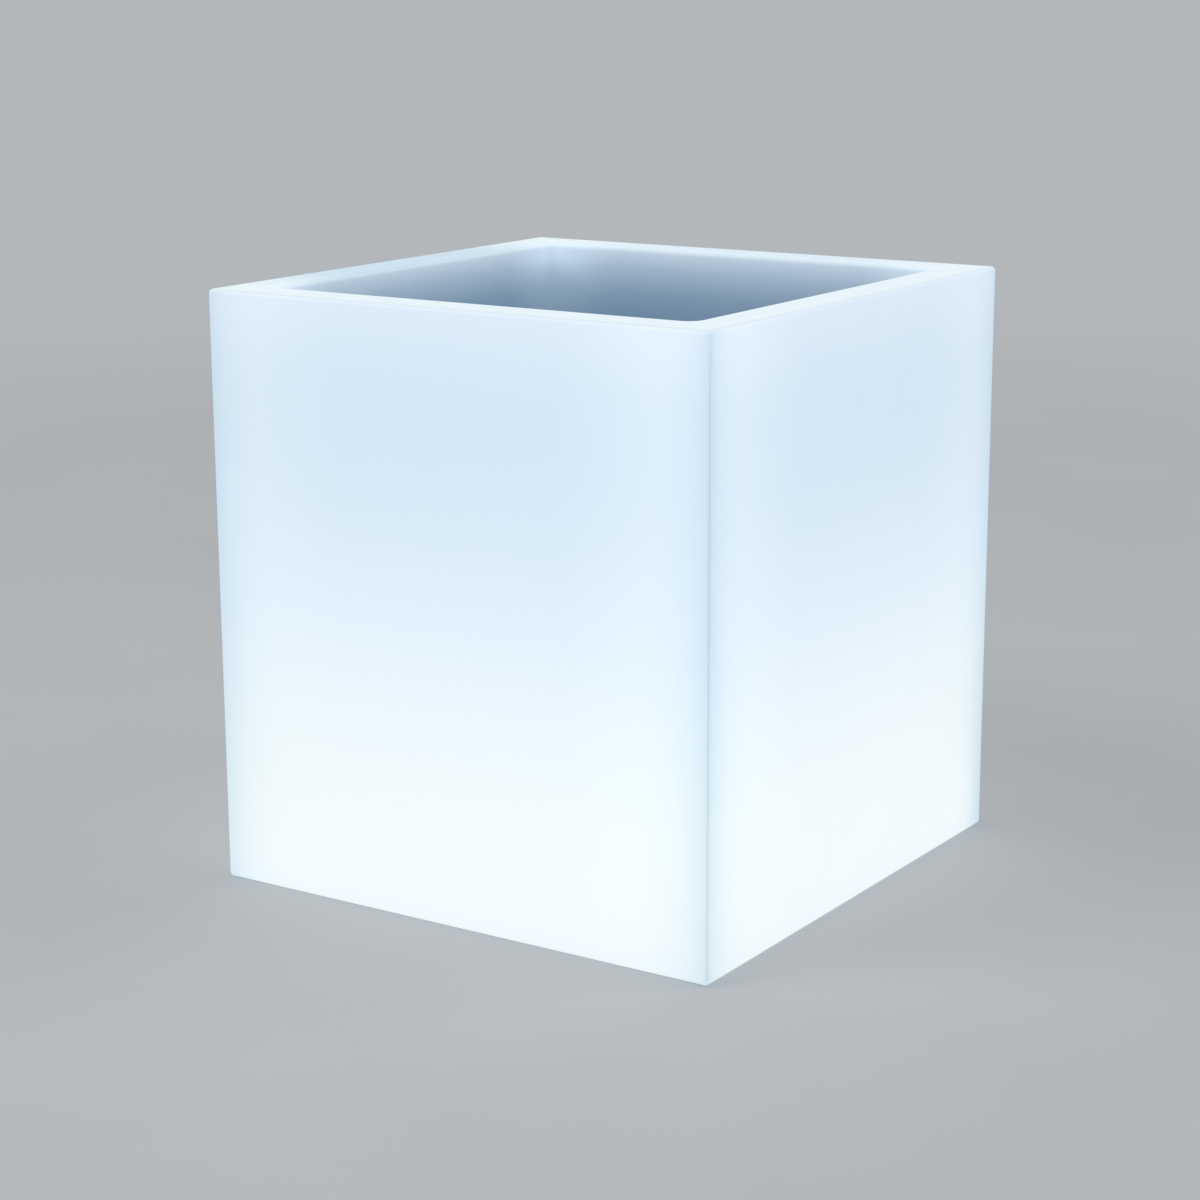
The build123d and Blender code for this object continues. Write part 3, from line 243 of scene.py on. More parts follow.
# Across the rim, from the pot to the outer faces
ACROSS_RIM = ((0.0, 1.08), (0.12, 1.03), (0.3, 0.98), (0.6, 1.0), (0.85, 1.0), (1.0, 0.9))
POT_CORNER_WIDTH = 0.065
# What the edges, where the two skins meet, let through of red, green and blue: distances in metres
LOW_EDGE = (
    (0.000, (0.68, 0.78, 0.85)),
    (0.004, (0.76, 0.85, 0.91)),
    (0.012, (0.85, 0.915, 0.95)),
    (0.024, (0.94, 0.97, 0.985)),
    (0.050, (1.02, 1.02, 1.01)),
    (0.110, (1.0, 1.0, 1.0)),
)
HIGH_EDGE = (
    (0.000, (0.83, 0.87, 0.90)),
    (0.005, (0.95, 0.96, 0.97)),
    (0.012, (1.02, 1.015, 1.01)),
    (0.030, (1.12, 1.09, 1.06)),
    (0.055, (1.09, 1.07, 1.05)),
    (0.110, (1.0, 1.0, 1.0)),
)
POT_DEPTH = 0.285
SKIN_COLOUR = (0.30, 0.36, 0.40, 1.0)
# How much studio light falls on each part of the skin
STUDIO_LOW = 0.60
STUDIO_HIGH = 0.68
STUDIO_ON_RIM = 0.94
STUDIO_IN_POT = 0.52
STUDIO_BELOW = 0.45
RECESS_DEPTH = 0.0135  # a little more than the flange's recess in the underside


def studio_share(colour, level):
    """What is left for the glow once the studio light has lit the skin."""
    return tuple(max(0.0, colour[i] - SKIN_COLOUR[i] * level) for i in range(3)) + (1.0,)


class Moulding(Graph):
    """The moulding's shader, with where a point lies on the planter."""

    def __init__(self):
        super().__init__("polyethylene")
        self.east, self.north, self.z = self.split(self.place)
        self.x = self.absolute(self.east)
        self.y = self.absolute(self.north)
        self.outward = self.either(self.x, self.y)
        self.sideways = self.least((self.x, self.y))
        self.height = self.fade(self.z, BASE, TOP, smooth=False)
        self.depth = self.less(TOP, self.z)


def outer_glow(g):
    """By height, dimmer along the edges, and a little uneven round the planter."""
    stops = [
        (at, studio_share(colour, STUDIO_LOW + (STUDIO_HIGH - STUDIO_LOW) * at))
        for at, colour in FACE_GLOW
    ]
    face = g.ramp(g.height, stops)
    to_edge = g.less(HALF, g.sideways)
    low_edge, high_edge = (g.ramp_over(to_edge, stops) for stops in (LOW_EDGE, HIGH_EDGE))
    face = g.tint(face, g.mix(g.fade(g.height, 0.25, 0.85), low_edge, high_edge))
    at_far_edge = g.fade(g.least((g.east, g.north)), HALF - FAR_EDGE_WIDTH, HALF)
    low_down = g.fade(g.height, 0.45, 0.1)
    face = g.mix(g.both(at_far_edge, low_down), face, FAR_EDGE, "MULTIPLY")
    turned = g.absolute(g.less(g.east, g.north))
    above_foot = g.fade(g.height, 0.0, 0.25)
    return g.mix(above_foot, face, g.ramp_over(turned, ROUND_GLOW), "MULTIPLY")


def rim_glow(g):
    """By the distance across it, and dimmer along the middle of two sides."""
    across = g.fade(g.outward, HALF - RIM, HALF, smooth=False)
    rim = g.tint(studio_share(RIM_GLOW, STUDIO_ON_RIM), g.ramp(across, ACROSS_RIM))
    along = g.under(g.sideways, HALF - 4 * RIM, HALF - 0.8 * RIM)
    west = g.both(along, g.under(g.east, RIM - HALF, 1.3 * RIM - HALF))
    north = g.both(along, g.fade(g.north, HALF - 1.1 * RIM, HALF - RIM))
    rim = g.mix(west, rim, WEST_RIM, "MULTIPLY")
    return g.mix(north, rim, NORTH_RIM, "MULTIPLY")


def pot_glow(g):
    """By depth, brighter in its corners, with a tone of its own on the floor."""
    stops = [(at, studio_share(colour, STUDIO_IN_POT)) for at, colour in POT_GLOW]
    pot = g.ramp_over(g.depth, stops)
    near_corner = g.under(g.less(HALF - RIM, g.sideways), 0.0, POT_CORNER_WIDTH)
    below_rim = g.both(g.fade(g.depth, 0.002, 0.014), g.under(g.depth, 0.04, 0.16))
    pot = g.mix(g.both(near_corner, below_rim), pot, POT_CORNER_GLOW, "ADD")
    near_rim = g.fade(g.depth, 0.0, 0.03, 0.3, 0.0)
    pot = g.tint(pot, g.math("MULTIPLY_ADD", near_corner, near_rim, 1.0))
    in_middle = g.fade(g.distance(g.x, g.y), 0.15, 0.05)
    on_floor = g.both(g.fade(g.depth, POT_DEPTH - 0.008, POT_DEPTH), in_middle)
    return g.mix(on_floor, pot, studio_share(FLOOR_GLOW, STUDIO_IN_POT))


def moulding_material():
    """Translucent polyethylene, brighter where the light chamber is wide and dimmer at its edges."""
    g = Moulding()
    on_rim = g.fade(g.z, TOP - 0.0016, TOP - 0.0006)
    at_side = g.fade(g.outward, HALF - 0.5 * EDGE, HALF - 0.15 * EDGE)
    is_outer = g.either(at_side, g.under(g.z, BASE + EDGE, BASE + 2 * EDGE))
    glow = g.mix(is_outer, g.mix(on_rim, pot_glow(g), rim_glow(g)), outer_glow(g))
    is_low = g.under(g.z, BASE + RECESS_DEPTH, BASE + RECESS_DEPTH + 0.001)
    underneath = g.both(is_low, g.under(g.outward, HALF - 0.012, HALF - 0.006))
    glow = g.mix(underneath, glow, studio_share(UNDER_GLOW, STUDIO_BELOW))

    # Faint clouds and specks of the moulding powder
    clouds = g.noise(9, detail=4, roughness=0.55)
    speckle = g.noise(420, detail=1)
    glow = g.tint(glow, g.ramp(clouds, ((0.25, 0.98), (0.75, 1.02))))
    glow = g.tint(glow, g.ramp(speckle, ((0.3, 0.992), (0.7, 1.006))))
    darker = tuple(c * 0.95 for c in SKIN_COLOUR[:3]) + (1.0,)
    skin = g.mix(g.fade(clouds, 0.3, 0.7), SKIN_COLOUR, darker)
    waves = g.bump(g.noise(7, detail=1), distance=0.0006)
    grain = g.bump(g.noise(900, detail=2, roughness=0.6), 0.00006, 0.6, waves)
    g.set(
        Base_Color=skin,
        Roughness=g.fade(g.noise(60, detail=5), 0.35, 0.65, 0.42, 0.56),
        Emission_Color=glow,
        Emission_Strength=1.0,
        Normal=grain,
        IOR=1.5,
        Specular_IOR_Level=0.35,
    )
    return g.material


class Surface(Graph):
    """A shader whose colour, gloss and relief are built up in layers, from a clouded, grained base."""

    def __init__(self, name, dark, light, roughness, metallic=0.0, cloud=120, grain=1500,
                 depth=0.00003, stretch=None):
        super().__init__(name)
        self.x, self.y, self.z = self.split(self.place)
        self.clouds = self.noise(cloud, detail=5, roughness=0.6)
        self.fine = self.noise(grain, detail=3, roughness=0.6, stretch=stretch)
        self.colour = self.mix(self.fade(self.clouds, 0.3, 0.7), (*dark, 1.0), (*light, 1.0))
        self.roughness = self.fade(self.fine, 0.3, 0.7, roughness * 0.85, min(1.0, roughness * 1.18))
        self.metallic = metallic
        self.normal = self.bump(self.fine, depth, 0.7)

    def paint(self, mask, colour=None, roughness=None, metallic=None):
        """Another colour, roughness or metal where the mask is 1."""
        if colour is not None:
            self.colour = self.mix(mask, self.colour, (*colour, 1.0))
        if roughness is not None:
            self.roughness = self.between(mask, self.roughness, roughness)
        if metallic is not None:
            self.metallic = self.between(mask, self.metallic, metallic)

    def relief(self, height, distance):
        """Raises the surface by so many millimetres where the height is 1."""
        self.normal = self.bump(height, distance * MM, below=self.normal)

    def from_point(self, value, point):
        return self.absolute(self.less(value, point))

    def within(self, value, low, high):
        """1 up to low, 0 beyond high, in millimetres."""
        return self.under(value, low * MM, high * MM)

    def beyond(self, value, low, high):
        """0 up to low, 1 beyond high, in millimetres."""
        return self.fade(value, low * MM, high * MM)

    def near(self, value, point, low, high):
        """1 up to low away from a point, 0 beyond high, in millimetres."""
        return self.within(self.from_point(value, point), low, high)

    def nearest(self, axes):
        """How far a point lies from the nearest of several upright axes."""
        return self.least(
            [self.distance(self.less(self.x, x), self.less(self.y, y)) for x, y in axes]
        )

    def from_box(self, low, high):
        """How far a point lies outside an upright box, seen from above; below 0 inside it."""
        x, y = halfway(low, high)[:2]
        across = self.less(self.from_point(self.x, x), (high[0] - low[0]) / 2)
        along = self.less(self.from_point(self.y, y), (high[1] - low[1]) / 2)
        return self.either(across, along)

    def beside(self, count, circle):
        """Along and across the radius, from the nearest of so many places on a circle about the origin."""
        step = math.tau / count
        radius = self.distance(self.x, self.y)
        angle = self.math("WRAP", self.math("ARCTAN2", self.y, self.x), step / 2, -step / 2)
        along = self.both(radius, self.math("COSINE", angle))
        across = self.both(radius, self.math("SINE", angle))
        return self.less(along, circle), across

    def waves(self, value, pitch):
        """Even waves from 0 to 1 along a value, so many millimetres long."""
        sine = self.math("SINE", self.both(value, math.tau / (pitch * MM)))
        return self.math("MULTIPLY_ADD", sine, 0.5, 0.5)

    def follow(self, value, points):
        """A length that runs straight from point to point of (value, length), in millimetres."""
        points = [(start * MM, low * MM) for start, low in points]
        total = points[0][1]
        for (start, low), (end, high) in zip(points, points[1:]):
            part = self.fade(value, start, end, 0.0, high - low, smooth=False)
            total = self.math("ADD", part, total)
        return total

    def faces_up(self):
        """1 on faces that look up or down, 0 on upright ones."""
        normal = self.node("NewGeometry", "True Normal")
        return self.fade(self.absolute(self.split(normal)[2]), 0.5, 0.8)

    def edges(self, radius):
        """1 along edges, 0 a radius away from them, in millimetres."""
        rounded = self.node("Bevel", "Normal", {"Radius": radius * MM}, samples=8)
        flat = self.node("NewGeometry", "Normal")
        match = self.node("VectorMath", "Value", {0: rounded, 1: flat}, operation="DOT_PRODUCT")
        return self.under(match, 0.80, 0.99)

    def wear_and_edge_sheen(self, radius, colour, roughness):
        """Edges paler in patches: rubbed wear, and on the flap rubber a painted highlight of edge sheen.
        """
        patches = self.fade(self.noise(500, detail=3), 0.38, 0.60)
        self.paint(self.both(self.edges(radius), patches), colour, roughness)

    def dust(self, colour=(0.30, 0.29, 0.27), amount=0.35):
        """Fine dust in patches on what looks up or down."""
        patches = self.fade(self.noise(90, detail=6, roughness=0.7), 0.45, 0.75, 0.0, amount)
        self.paint(self.both(patches, self.faces_up()), colour, 0.8)

    def finish(self, **values):
        self.set(
            Base_Color=self.colour,
            Roughness=self.roughness,
            Metallic=self.metallic,
            Normal=self.normal,
            **values,
        )
        return self.material


# Places of the pieces that a material follows
def solids(name):
    """The boxes of a node's separate solids, each as its lowest and highest corner."""
    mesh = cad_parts[name].data
    keys = [tuple(round(c, 6) for c in vertex.co) for vertex in mesh.vertices]
    owner = {key: key for key in keys}

    def root(key):
        while owner[key] != key:
            owner[key] = owner[owner[key]]
            key = owner[key]
        return key

    for edge in mesh.edges:
        a, b = (root(keys[i]) for i in edge.vertices)
        owner[a] = b
    groups = {}
    for key in owner:
        groups.setdefault(root(key), []).append(key)
    axes = [list(zip(*points)) for points in groups.values()]
    return sorted((tuple(map(min, axis)), tuple(map(max, axis))) for axis in axes)


def halfway(low, high):
    return tuple((a + b) / 2 for a, b in zip(low, high))


def centres(name):
    """The upright axes of a node's solids, as (x, y)."""
    return [halfway(*box)[:2] for box in solids(name)]


def middle(name):
    low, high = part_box(name)
    return (low + high) / 2


# Rubber
def foot_rubber():
    """Black rubber with moulded rings on the sole, greyed by the floor."""
    s = Surface("foot_rubber", (0.016, 0.016, 0.017), (0.030, 0.030, 0.031), 0.72, cloud=200)
    radius = s.nearest(centres("rubber_feet"))
    sole = s.within(s.z, 0.1, 1.0)
    band = s.both(sole, s.beyond(radius, 10, 10.6), s.within(radius, 17.8, 18.4))
    s.relief(s.both(s.waves(radius, 1.6), band), 0.25)
    s.wear_and_edge_sheen(0.5, (0.09, 0.09, 0.09), 0.85)
    scuffs = s.fade(s.noise(1100, detail=5, roughness=0.7), 0.45, 0.75)
    s.paint(s.both(scuffs, sole), (0.075, 0.073, 0.069), 0.88)
    return s.finish()


def bung_rubber():
    """Grey silicone rubber with a parting line and dried water marks."""
    s = Surface("bung_rubber", (0.37, 0.40, 0.43), (0.46, 0.49, 0.52), 0.5, cloud=150, grain=3000)
    axis = middle("drain_plug")
    seam = s.near(s.y, axis.y, 0.1, 0.25)
    s.relief(seam, 0.15)
    s.paint(seam, (0.52, 0.55, 0.58), 0.6)
    radius = s.nearest([(axis.x, axis.y)])
    marks = s.fade(s.noise(600, detail=4), 0.42, 0.62, 0.0, 0.7)
    s.paint(s.both(marks, s.beyond(radius, 11, 17), s.faces_up()), (0.62, 0.62, 0.59), 0.75)
    s.wear_and_edge_sheen(0.5, (0.54, 0.57, 0.60), 0.6)
    return s.finish()


def gasket_foam():
    """Black closed-cell foam rubber, with painted shade in its open pores."""
    s = Surface("gasket_foam", (0.018, 0.018, 0.019), (0.032, 0.032, 0.034), 0.85, cloud=300)
    pores = s.cells(2200)
    s.relief(pores, 0.2)
    # Painted shade: the hollows of the pores are darkened.
    s.paint(s.under(pores, 0.05, 0.25), (0.008, 0.008, 0.008), 0.95)
    s.wear_and_edge_sheen(0.3, (0.07, 0.07, 0.07), 0.9)
    return s.finish()


def seal_rubber(name):
    """Smooth black rubber ring with its parting line half way up."""
    s = Surface(name, (0.016, 0.016, 0.017), (0.028, 0.028, 0.030), 0.42, cloud=350, grain=4000)
    seam = s.near(s.z, middle(name).z, 0.06, 0.16)
    s.relief(seam, 0.1)
    s.paint(seam, (0.055, 0.055, 0.06), 0.6)
    s.dust(amount=0.2)
    return s.finish()


def flap_rubber(name):
    """Dark rubber with a fine moulded texture, crazed and paler where it bends, with a painted highlight
    along its edges.
    """
    s = Surface(name, (0.030, 0.031, 0.033), (0.044, 0.045, 0.048), 0.55, cloud=250, grain=4000)
    bend = s.near(s.x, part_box("jack_cap")[1].x, 0.3, 2.2)
    s.relief(s.both(s.waves(s.x, 0.5), bend), 0.08)
    s.paint(s.both(bend, s.fade(s.fine, 0.42, 0.58)), (0.12, 0.12, 0.125), 0.65)
    # Painted highlight: paler edges in patches stand for the sheen of the satin rubber's edges.
    s.wear_and_edge_sheen(0.3, (0.11, 0.11, 0.115), 0.6)
    s.dust((0.12, 0.12, 0.118), 0.3)
    return s.finish()


# Metal
def knurled_brass():
    """Brass inserts with turned ends and crossed knurls on their sides, with painted shade in the knurls'
    grooves.
    """
    s = Surface("brass", (0.46, 0.31, 0.10), (0.78, 0.57, 0.24), 0.34, 1.0, cloud=300, grain=2500)
    places = centres("body_inserts")
    along, across = s.beside(len(places), math.hypot(*places[0]))
    radius = s.distance(along, across)
    ends = s.faces_up()
    sides = s.opposite(ends)
    turn = s.both(s.math("ARCTAN2", across, along), 4 * MM)
    knurls = s.both(s.waves(s.math("ADD", turn, s.z), 0.9), s.waves(s.less(turn, s.z), 0.9))
    s.relief(s.both(knurls, sides), 0.35)
    # Painted shade: the grooves between the knurls are darkened.
    s.paint(s.both(s.under(knurls, 0.0, 0.3), sides), (0.30, 0.19, 0.06), 0.5)
    s.relief(s.both(s.waves(radius, 0.25), ends), 0.01)
    s.wear_and_edge_sheen(0.4, (0.92, 0.74, 0.38), 0.25)
    return s.finish()


def turned_metal(name, dark, light, roughness=0.27, shank=0.0, pitch=0.0):
    """Machined metal with fine turning marks, and threads on a screw's shank with painted shade in their
    roots.
    """
    s = Surface(name, dark, light, roughness, 1.0, cloud=250, grain=3500, depth=0.01 * MM)
    radius = s.nearest(centres(name))
    s.relief(s.both(s.waves(radius, 0.22), s.faces_up()), 0.006)
    if shank:
        turns = s.waves(s.z, pitch)
        on_shank = s.within(radius, 1.02 * shank, 1.1 * shank)
        s.relief(s.both(turns, on_shank), 0.5 * pitch)
        # Painted shade: the roots of the thread are darkened.
        shaded_roots = s.both(s.under(turns, 0.1, 0.5), on_shank)
        s.paint(shaded_roots, tuple(c * 0.55 for c in dark), 0.5)
    s.wear_and_edge_sheen(0.25, tuple(min(1.0, c * 1.3) for c in light), 0.2)
    return s.finish()


def steel(name, shank=0.0, pitch=0.0):
    return turned_metal(name, (0.40, 0.41, 0.42), (0.58, 0.59, 0.60), shank=shank, pitch=pitch)


def spring_steel():
    """Drawn wire, dark and slightly oily, with ground ends."""
    s = Surface("spring_steel", (0.26, 0.26, 0.27), (0.42, 0.42, 0.43), 0.3, 1.0, grain=6000)
    low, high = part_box("button_spring")
    ends = s.least([s.from_point(s.z, low.z), s.from_point(s.z, high.z)])
    s.paint(s.within(ends, 0.1, 0.3), (0.66, 0.66, 0.67), 0.4)
    s.paint(s.fade(s.noise(900, detail=4), 0.55, 0.72), (0.20, 0.17, 0.14), 0.55)
    return s.finish()


def welded_nickel():
    """Nickel strip with four spot welds over the end of each cell."""
    s = Surface("welded_nickel", (0.54, 0.53, 0.49), (0.68, 0.66, 0.62), 0.24, 1.0, stretch=(1, 0.1, 1))
    y, z = halfway(*solids("battery_cells")[0])[1:]
    between = middle("battery_cells").y
    from_cell = s.from_point(s.from_point(s.y, between), between - y)
    from_weld = s.distance(
        s.from_point(from_cell, 1.4 * MM), s.from_point(s.from_point(s.z, z), 1.4 * MM)
    )
    s.relief(s.beyond(from_weld, 0.25, 0.6), 0.25)
    s.paint(s.fade(from_weld, 0.5 * MM, 1.3 * MM, 0.8, 0.0), (0.42, 0.30, 0.17), 0.35)
    s.paint(s.within(from_weld, 0.3, 0.6), (0.30, 0.29, 0.28), 0.5)
    return s.finish()


# Plastic
def housing_plastic():
    """Grey moulding with a spark-eroded texture, marks of its gate and ejectors, and scuffs below."""
    s = Surface("housing_plastic", (0.625, 0.65, 0.665), (0.66, 0.685, 0.70), 0.55, cloud=30, grain=2600)
    radius = s.distance(s.x, s.y)
    s.relief(s.within(radius, 1.0, 1.6), 0.2)
    ejector = s.distance(*s.beside(12, 70 * MM))
    rings = s.least([s.from_point(radius, 4 * MM), s.from_point(ejector, 3 * MM)])
    s.relief(s.beyond(rings, 0.08, 0.25), 0.1)
    underneath = s.within(s.z, 7, 8)
    for stretch in ((1, 9, 1), (11, 1, 1)):
        scratches = s.fade(s.noise(160, detail=6, roughness=0.7, stretch=stretch), 0.66, 0.72)
        s.paint(s.both(scratches, underneath), (0.74, 0.76, 0.77), 0.7)
    s.wear_and_edge_sheen(0.6, (0.75, 0.77, 0.78), 0.42)
    s.dust(amount=0.12)
    return s.finish()


def clamp_plastic():
    """The housing's plastic, with the marks of the mould's halves along the strap."""
    s = Surface("clamp_plastic", (0.60, 0.625, 0.64), (0.64, 0.665, 0.68), 0.5, cloud=60, grain=2600)
    seam = s.near(s.x, middle("battery_clamp").x, 0.08, 0.2)
    s.relief(s.both(seam, s.faces_up()), 0.08)
    s.wear_and_edge_sheen(0.4, (0.74, 0.76, 0.77), 0.4)
    s.dust(amount=0.12)
    return s.finish()


TIN = (0.62, 0.62, 0.60)
BEZEL_TOP = 12 * MM
PIN_TOP = 20 * MM
BARREL_TOP = 29 * MM


def barrel_plastic(name, barrel, pin=0.0):
    """Black glass-filled plastic: a satin bezel, a threaded barrel, and tinned tags on top."""
    s = Surface(name, (0.010, 0.010, 0.011), (0.018, 0.018, 0.020), 0.36, cloud=300, grain=3500)
    axis = middle(name)
    radius = s.nearest([(axis.x, axis.y)])
    on_thread = s.near(radius, barrel, 0.1, 0.3)
    above_bezel = s.fade(s.z, BEZEL_TOP, BEZEL_TOP + 0.5 * MM)
    s.relief(s.both(s.waves(s.z, 0.8), on_thread, above_bezel), 0.5)
    s.wear_and_edge_sheen(0.3, (0.055, 0.055, 0.06), 0.3)
    s.dust((0.10, 0.10, 0.098), 0.25)
    s.paint(s.fade(s.z, BARREL_TOP + 0.05 * MM, BARREL_TOP + 0.15 * MM), TIN, 0.25, 1.0)
    if pin:
        on_pin = s.both(s.under(radius, pin, pin + 0.15 * MM), s.under(s.z, PIN_TOP, PIN_TOP + 1 * MM))
        s.paint(on_pin, (0.66, 0.64, 0.60), 0.2, 1.0)
    return s.finish()


def button_plastic():
    """Grey satin button with fine rings and a middle polished by fingers."""
    s = Surface("button_plastic", (0.22, 0.24, 0.27), (0.27, 0.29, 0.32), 0.44, cloud=400, grain=4000)
    low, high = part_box("power_button")
    radius = s.nearest(centres("power_button"))
    face = s.under(s.z, low.z + 0.3 * MM, low.z + 0.6 * MM)
    s.relief(s.both(s.waves(radius, 0.7), face, s.beyond(radius, 2.4, 2.8)), 0.12)
    s.paint(s.both(face, s.fade(radius, 0.5 * MM, 3.5 * MM, 0.8, 0.0)), (0.31, 0.33, 0.36), 0.2)
    s.wear_and_edge_sheen(0.3, (0.40, 0.42, 0.45), 0.3)
    return s.finish()


def clear_plastic():
    """Clear light pipe, hazy where it was cut from its gate."""
    s = Surface("clear_plastic", (0.70, 0.78, 0.82), (0.80, 0.88, 0.92), 0.10, cloud=300, grain=3000)
    s.paint(s.fade(s.clouds, 0.55, 0.7, 0.0, 0.6), roughness=0.35)
    s.wear_and_edge_sheen(0.3, (0.86, 0.92, 0.95), 0.3)
    return s.finish(Transmission_Weight=0.75, IOR=1.58)


# LEDs and what shines through their dome
LED_RINGS = ((16, 44 * MM), (8, 24 * MM))  # LEDs on a circle, and its radius
# The dome's glow by the distance from an LED's axis, and how it falls off from the dome's own axis
DOME_GLOW = ((0.0, tone(236, 249, 255)), (5 * MM, tone(205, 228, 244)), (16 * MM, tone(160, 190, 212)))
DOME_FALL = ((50 * MM, 1.0), (62 * MM, 0.45), (73 * MM, 0.2))


def from_led(s):
    """How far a point lies from the nearest LED's axis."""
    return s.least([s.distance(*s.beside(count, circle)) for count, circle in LED_RINGS])


def dome_plastic():
    """Opal dome, brightest over the LEDs and dim at its flange."""
    s = Surface("dome_plastic", (0.52, 0.57, 0.60), (0.57, 0.62, 0.65), 0.42, cloud=60, grain=3500)
    radius = s.distance(s.x, s.y)
    glow = s.ramp_over(from_led(s), DOME_GLOW)
    glow = s.tint(glow, s.ramp_over(radius, DOME_FALL))
    s.wear_and_edge_sheen(0.5, (0.66, 0.71, 0.74), 0.5)
    s.dust(amount=0.15)
    return s.finish(Emission_Color=glow, Emission_Strength=0.8)


def led_packages():
    """White LED packages with silvered feet; their lenses are pieces of their own."""
    s = Surface("led_packages", (0.66, 0.66, 0.63), (0.74, 0.74, 0.71), 0.35, cloud=900, grain=6000)
    radius = s.distance(s.x, s.y)
    is_outer = s.beyond(radius, 33, 35)
    (outer_along, outer_across), (inner_along, inner_across) = (s.beside(*ring) for ring in LED_RINGS)
    along = s.between(is_outer, inner_along, outer_along)
    across = s.between(is_outer, inner_across, outer_across)
    from_middle = s.distance(along, across)
    cup = s.within(from_middle, 1.9, 2.0)
    feet = s.both(
        s.beyond(s.absolute(along), 2.3, 2.4),
        s.waves(across, 1.6),
        s.within(s.z, 48.6, 48.9),
    )
    s.paint(s.fade(feet, 0.4, 0.6), (0.66, 0.65, 0.62), 0.25, 1.0)
    s.paint(cup, (0.80, 0.62, 0.16), 0.4)
    top = s.beyond(s.z, 49.4, 49.5)
    glow = s.mix(s.beyond(from_middle, 1.6, 2.7), tone(255, 255, 255), tone(150, 168, 184))
    return s.finish(Emission_Color=s.mix(top, tone(90, 104, 118), glow), Emission_Strength=0.9)


def led_silicone():
    """Yellow silicone over the lit chips, white hot in the middle."""
    s = Surface("led_silicone", (0.72, 0.58, 0.16), (0.80, 0.66, 0.24), 0.2, cloud=1500, grain=7000)
    glow = s.mix(s.beyond(from_led(s), 0.4, 1.9), tone(255, 255, 250), tone(250, 226, 150))
    return s.finish(Emission_Color=glow, Emission_Strength=1.2)


def led_board():
    """White solder mask over copper rings, tinned pads and a bare aluminium edge."""
    s = Surface("led_board", (0.68, 0.68, 0.66), (0.74, 0.74, 0.72), 0.38, cloud=40, grain=3000)
    radius = s.distance(s.x, s.y)
    tracks = s.least([s.from_point(radius, circle) for count, circle in LED_RINGS])
    track = s.within(tracks, 3.4, 3.6)
    s.relief(track, 0.15)
    s.paint(s.both(track, s.beyond(tracks, 3.2, 3.6)), (0.56, 0.55, 0.52), 0.4)
    for count, circle in LED_RINGS:
        along, across = s.beside(count, circle)
        pad = s.both(s.within(s.absolute(along), 3.1, 3.2), s.within(s.absolute(across), 2.0, 2.1))
        s.relief(pad, 0.1)
        s.paint(pad, TIN, 0.28, 1.0)
    screws = s.nearest(centres("board_screws"))
    s.paint(s.within(screws, 2.9, 3.0), TIN, 0.3, 1.0)
    rim = s.either(s.beyond(radius, 59.3, 59.4), s.opposite(s.faces_up()))
    s.paint(rim, (0.58, 0.59, 0.60), 0.35, 1.0)
    s.dust(amount=0.12)
    return s.finish()


# Charging board
def circuit_board():
    """Green solder mask over copper tracks, with white outlines round the parts and tinned pads."""
    s = Surface("circuit_board", (0.010, 0.085, 0.032), (0.014, 0.115, 0.045), 0.32, cloud=80, grain=3000)
    across = s.waves(s.x, 1.1)
    lengthwise = s.waves(s.y, 1.1)
    region = s.fade(s.noise(110, detail=0), 0.49, 0.50)
    tracks = s.fade(s.between(region, across, lengthwise), 0.62, 0.74)
    s.relief(tracks, 0.06)
    s.paint(tracks, (0.020, 0.165, 0.062), 0.3)
    vias = s.cells(330)
    s.paint(s.under(vias, 0.10, 0.14), (0.55, 0.54, 0.50), 0.3, 1.0)
    # Painted shade: the open holes in the middle of the vias are painted black.
    s.paint(s.under(vias, 0.04, 0.06), (0.01, 0.01, 0.01), 0.8, 0.0)
    parts = s.least([s.from_box(low, high) for low, high in solids("control_chips")])
    s.paint(s.near(parts, 0.75 * MM, 0.1, 0.16), (0.70, 0.71, 0.68), 0.5)
    screws = s.nearest(centres("control_screws"))
    s.paint(s.within(screws, 2.9, 3.0), (0.58, 0.57, 0.54), 0.3, 1.0)
    s.paint(s.opposite(s.faces_up()), (0.30, 0.31, 0.13), 0.7, 0.0)
    s.dust(amount=0.12)
    return s.finish()


